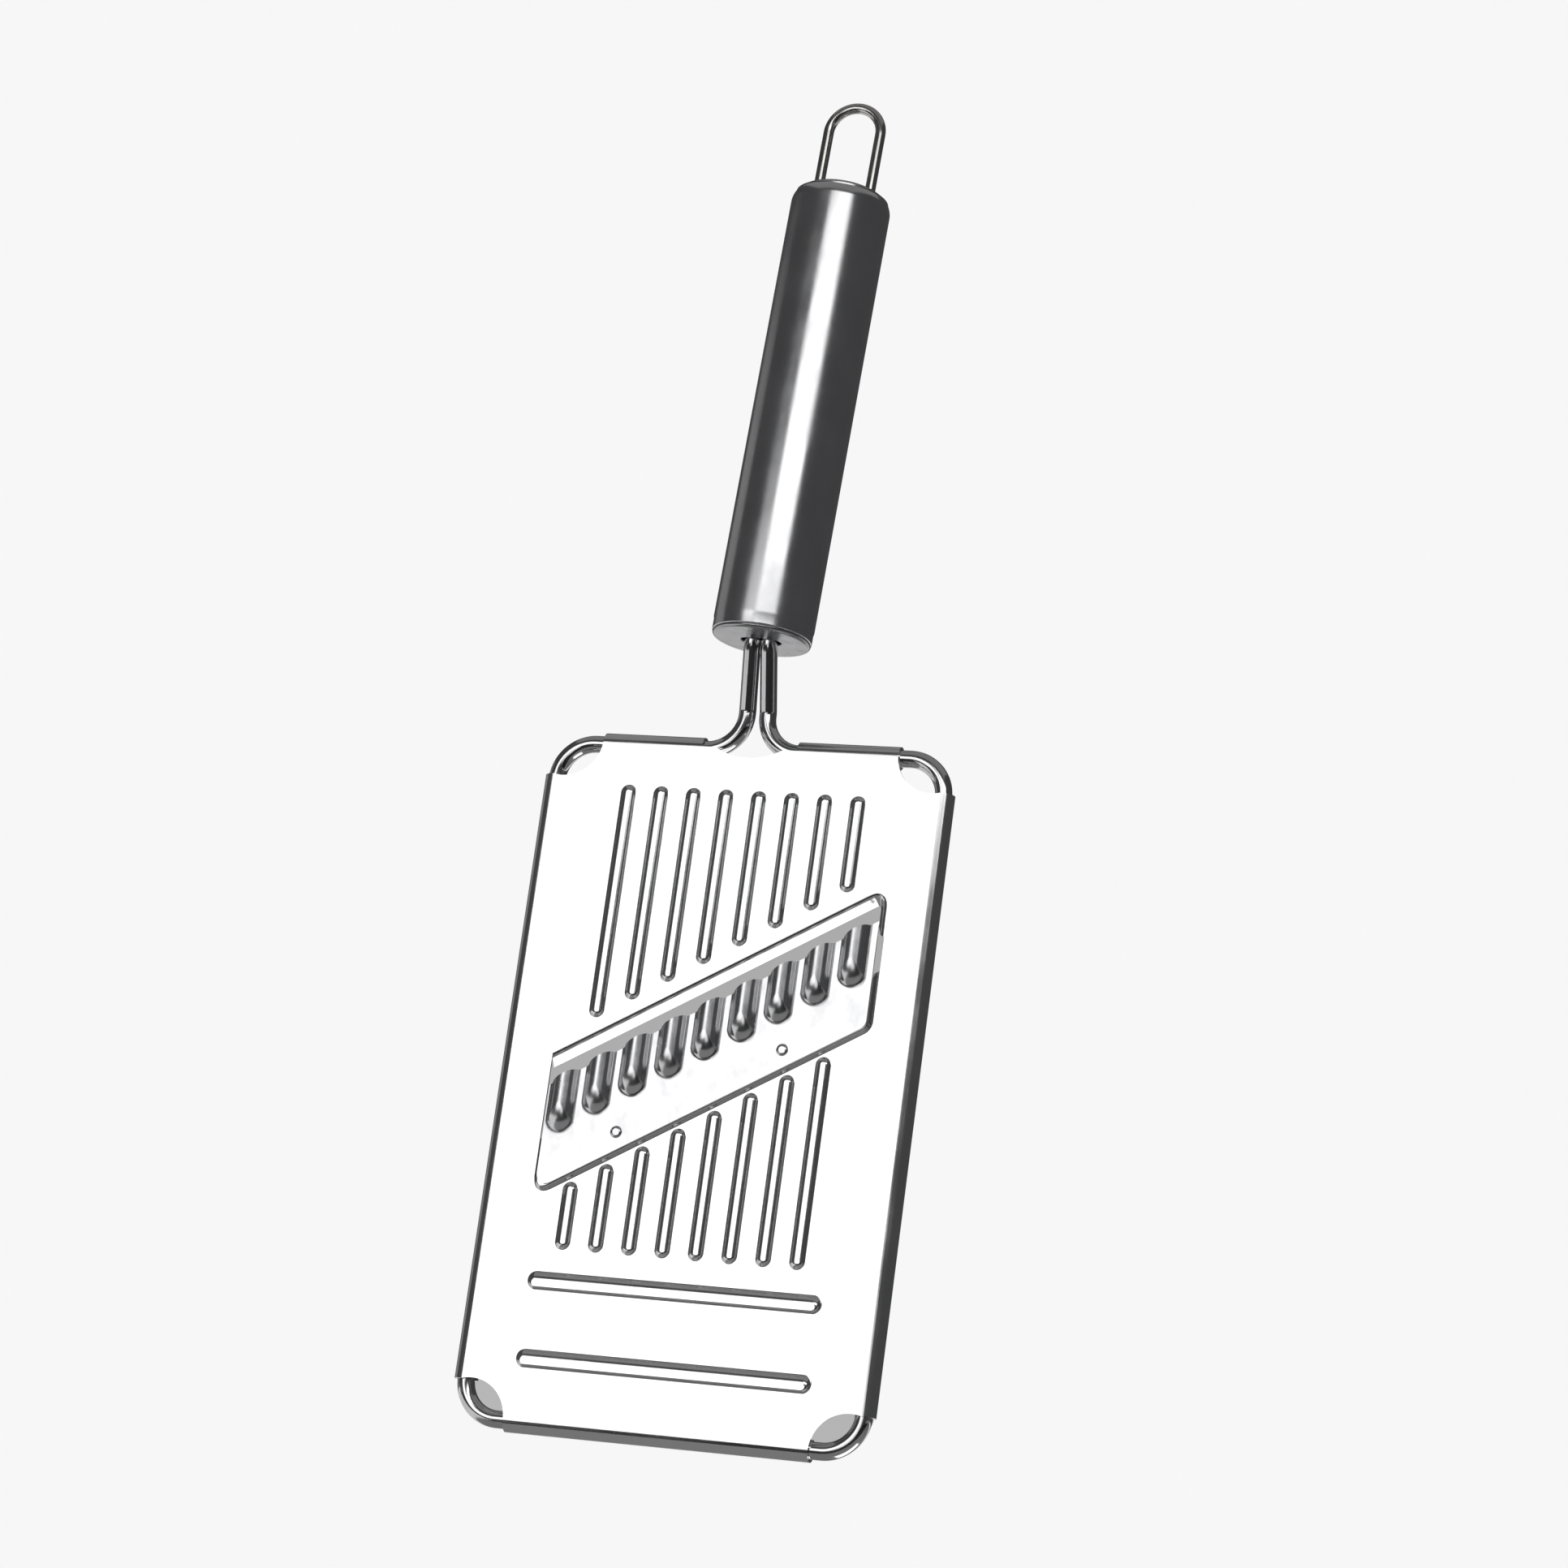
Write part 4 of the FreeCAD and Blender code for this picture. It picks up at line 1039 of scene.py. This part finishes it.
def floor_cloth(name, left, right, near_y, far_y, tone, glow=0.0, lift=0.01):
    """Cloth on the floor that shows only in the steel's reflections."""
    bpy.ops.mesh.primitive_plane_add(size=1, location=(
        (left + right) / 2, (near_y + far_y) / 2, FLOOR_LEVEL + lift))
    cloth = bpy.context.object
    cloth.name = name
    cloth.scale = (right - left, far_y - near_y, 1)
    material, _, shader = surface(name, (tone, tone, tone), glow)
    shader.inputs["Roughness"].default_value = 1.0
    shader.inputs["Specular IOR Level"].default_value = 0.0
    cloth.data.materials.append(material)
    cloth.visible_camera = False
    cloth.visible_diffuse = False
    cloth.visible_shadow = False


def shade_card():
    """Glowing grey card behind the plate, a painted shadow of a surface behind it, seen from the
    front alone through the plate's openings.
    """
    s = sizes()
    past_window, clearance = 25 * MM, 0.5 * MM
    bpy.ops.mesh.primitive_plane_add(size=1, rotation=(math.pi / 2, 0, 0))
    panel = bpy.context.object
    panel.name = "shade_card"
    high = s.window_top + past_window
    panel.scale = (s.plate_width - s.wire_radius, high, 1)
    panel.location = plate_home() @ Vector((0, s.wire_radius + clearance, high / 2 + s.wire_radius))
    bpy.ops.object.transform_apply(location=False, rotation=True, scale=True)
    take_up(panel)
    bpy.ops.mesh.select_all(action="SELECT")
    bpy.ops.mesh.bevel(offset=s.corner_radius + s.wire_radius, segments=8, affect="VERTICES")
    put_down()
    material = bpy.data.materials.new("shade_card")
    material.use_nodes = True
    tree = material.node_tree
    tree.nodes.remove(tree.nodes["Principled BSDF"])
    place = tree.nodes.new("ShaderNodeTexCoord")
    clouds = grain(tree, place.outputs["Object"], (3, 3, 3), detail=1.0)
    glow = tree.nodes.new("ShaderNodeEmission")
    # painted shadow: the card's glow drifts softly between two greys, where a shaded surface would
    # show
    tree.links.new(spread(tree, clouds, 0.36, 0.5), glow.inputs["Strength"])
    clear = tree.nodes.new("ShaderNodeBsdfTransparent")
    side = tree.nodes.new("ShaderNodeNewGeometry")
    mix = tree.nodes.new("ShaderNodeMixShader")
    tree.links.new(side.outputs["Backfacing"], mix.inputs["Fac"])
    tree.links.new(glow.outputs["Emission"], mix.inputs[1])
    tree.links.new(clear.outputs["BSDF"], mix.inputs[2])
    tree.links.new(mix.outputs["Shader"], tree.nodes["Material Output"].inputs["Surface"])
    panel.data.materials.append(material)
    panel.visible_glossy = False
    panel.visible_diffuse = False
    panel.visible_shadow = False


def lay_floor():
    """Pale round floor that brightens with distance, to meet the backdrop softly."""
    bpy.ops.mesh.primitive_circle_add(vertices=64, radius=6, fill_type="NGON",
                                      location=(0, 0, FLOOR_LEVEL))
    floor = bpy.context.object
    floor.name = "floor"
    material, tree, shader = surface("pale_floor", finishes().floor, 0.0)
    shader.inputs["Roughness"].default_value = 0.9
    place = tree.nodes.new("ShaderNodeTexCoord")
    reach = tree.nodes.new("ShaderNodeVectorMath")
    reach.operation = "LENGTH"
    tree.links.new(place.outputs["Object"], reach.inputs[0])
    tree.links.new(spread(tree, reach.outputs["Value"], 0.0, 0.72, start=0.9, stop=3.2),
                   shader.inputs["Emission Strength"])
    floor.data.materials.append(material)


def light_room():
    """White backdrop for the camera, a dim room for everything else, and a soft floor light."""
    scene = bpy.context.scene
    world = bpy.data.worlds.new("studio")
    world.use_nodes = True
    scene.world = world
    tree = world.node_tree
    room = tree.nodes["Background"]
    room.inputs["Color"].default_value = (0.06, 0.06, 0.062, 1)
    backdrop = tree.nodes.new("ShaderNodeBackground")
    backdrop.inputs["Color"].default_value = (0.93, 0.93, 0.93, 1)
    path = tree.nodes.new("ShaderNodeLightPath")
    mix = tree.nodes.new("ShaderNodeMixShader")
    tree.links.new(path.outputs["Is Camera Ray"], mix.inputs["Fac"])
    tree.links.new(room.outputs["Background"], mix.inputs[1])
    tree.links.new(backdrop.outputs["Background"], mix.inputs[2])
    tree.links.new(mix.outputs["Shader"], tree.nodes["World Output"].inputs["Surface"])
    lamp = bpy.data.lights.new("floor_light", "AREA")
    lamp.energy = 60
    lamp.size = 2.5
    light = bpy.data.objects.new("floor_light", lamp)
    scene.collection.objects.link(light)
    light.location = (0, 0, 1.6)
    light.visible_camera = False
    light.visible_glossy = False


def place_camera():
    """Camera below and to the right of the plate's middle, placed in plate coordinates."""
    scene = bpy.context.scene
    lens = bpy.data.cameras.new("camera")
    camera = bpy.data.objects.new("camera", lens)
    scene.collection.objects.link(camera)
    lens.sensor_width = 36
    lens.lens = 101.488
    lens.clip_start = 0.05
    right = Vector((0.94912, 0.28605, 0.13173))
    up = Vector((-0.04762, -0.28313, 0.95790))
    view = Matrix((right, up, right.cross(up))).transposed().to_4x4()
    place = plate_home() @ Vector((0.3271, -0.9363, -0.1060))
    camera.matrix_world = Matrix.Translation(place) @ view
    scene.camera = camera


class SLICER_OT_stage(Operator):
    """Set the pale floor, the cards, the soft light and the camera"""

    bl_idname = "slicer.stage"
    bl_label = "Stage"

    def execute(self, context):
        lay_floor()
        card("plate_card", -19, 7, 0.62, 0.70, 1.6)
        card("handle_card", 18, 24, 1.20, 0.34, 2.1)
        card("front_card", 0, -4, 0.42, 0.55, 1.0)
        card("left_card", -105, 12, 0.9, 0.9, 0.2)
        card("ceiling_card", 0, 85, 2.4, 2.4, 0.2)
        floor_cloth("far_dark_cloth", -4, 4, -5.0, -0.85, 0.03)
        floor_cloth("dark_cloth", -0.38, 4, -0.85, -0.40, 0.03)
        floor_cloth("grey_cloth", -0.38, 4, -0.40, 0.9, 0.25)
        floor_cloth("bright_cloth", 0.07, 0.36, 0.0, 0.30, 0.9, glow=1.0, lift=0.012)
        shade_card()
        light_room()
        place_camera()
        context.scene.view_settings.view_transform = "Standard"
        return {"FINISHED"}


# ------------------------------------------------------------------------------ add-on
class SLICER_PT_panel(Panel):
    """Every piece of the slicer, in the order they are made"""

    bl_idname = "SLICER_PT_panel"
    bl_label = "Wave Slicer"
    bl_space_type = "VIEW_3D"
    bl_region_type = "UI"
    bl_category = "Wave Slicer"

    def draw(self, context):
        for operator in MAKERS:
            self.layout.operator(operator.bl_idname)
        for group in (context.scene.slicer_sizes, context.scene.slicer_finishes):
            column = self.layout.column()
            for name in group.__annotations__:
                column.prop(group, name)


MAKERS = (SLICER_OT_plate, SLICER_OT_blade, SLICER_OT_rivets, SLICER_OT_frame_wire,
          SLICER_OT_handle_tube, SLICER_OT_end_cap, SLICER_OT_hanging_loop, SLICER_OT_welds,
          SLICER_OT_stage)
CLASSES = (SlicerSizes, SlicerFinishes) + MAKERS + (SLICER_PT_panel,)


def register():
    """Add the classes and the scene's settings."""
    for cls in CLASSES:
        bpy.utils.register_class(cls)
    bpy.types.Scene.slicer_sizes = PointerProperty(type=SlicerSizes)
    bpy.types.Scene.slicer_finishes = PointerProperty(type=SlicerFinishes)


def unregister():
    """Take them away again."""
    del bpy.types.Scene.slicer_finishes
    del bpy.types.Scene.slicer_sizes
    for cls in reversed(CLASSES):
        bpy.utils.unregister_class(cls)


def main():
    """Make every piece."""
    register()
    for operator in MAKERS:
        group, name = operator.bl_idname.split(".")
        put_down()
        getattr(getattr(bpy.ops, group), name)()


if __name__ == "__main__":
    main()
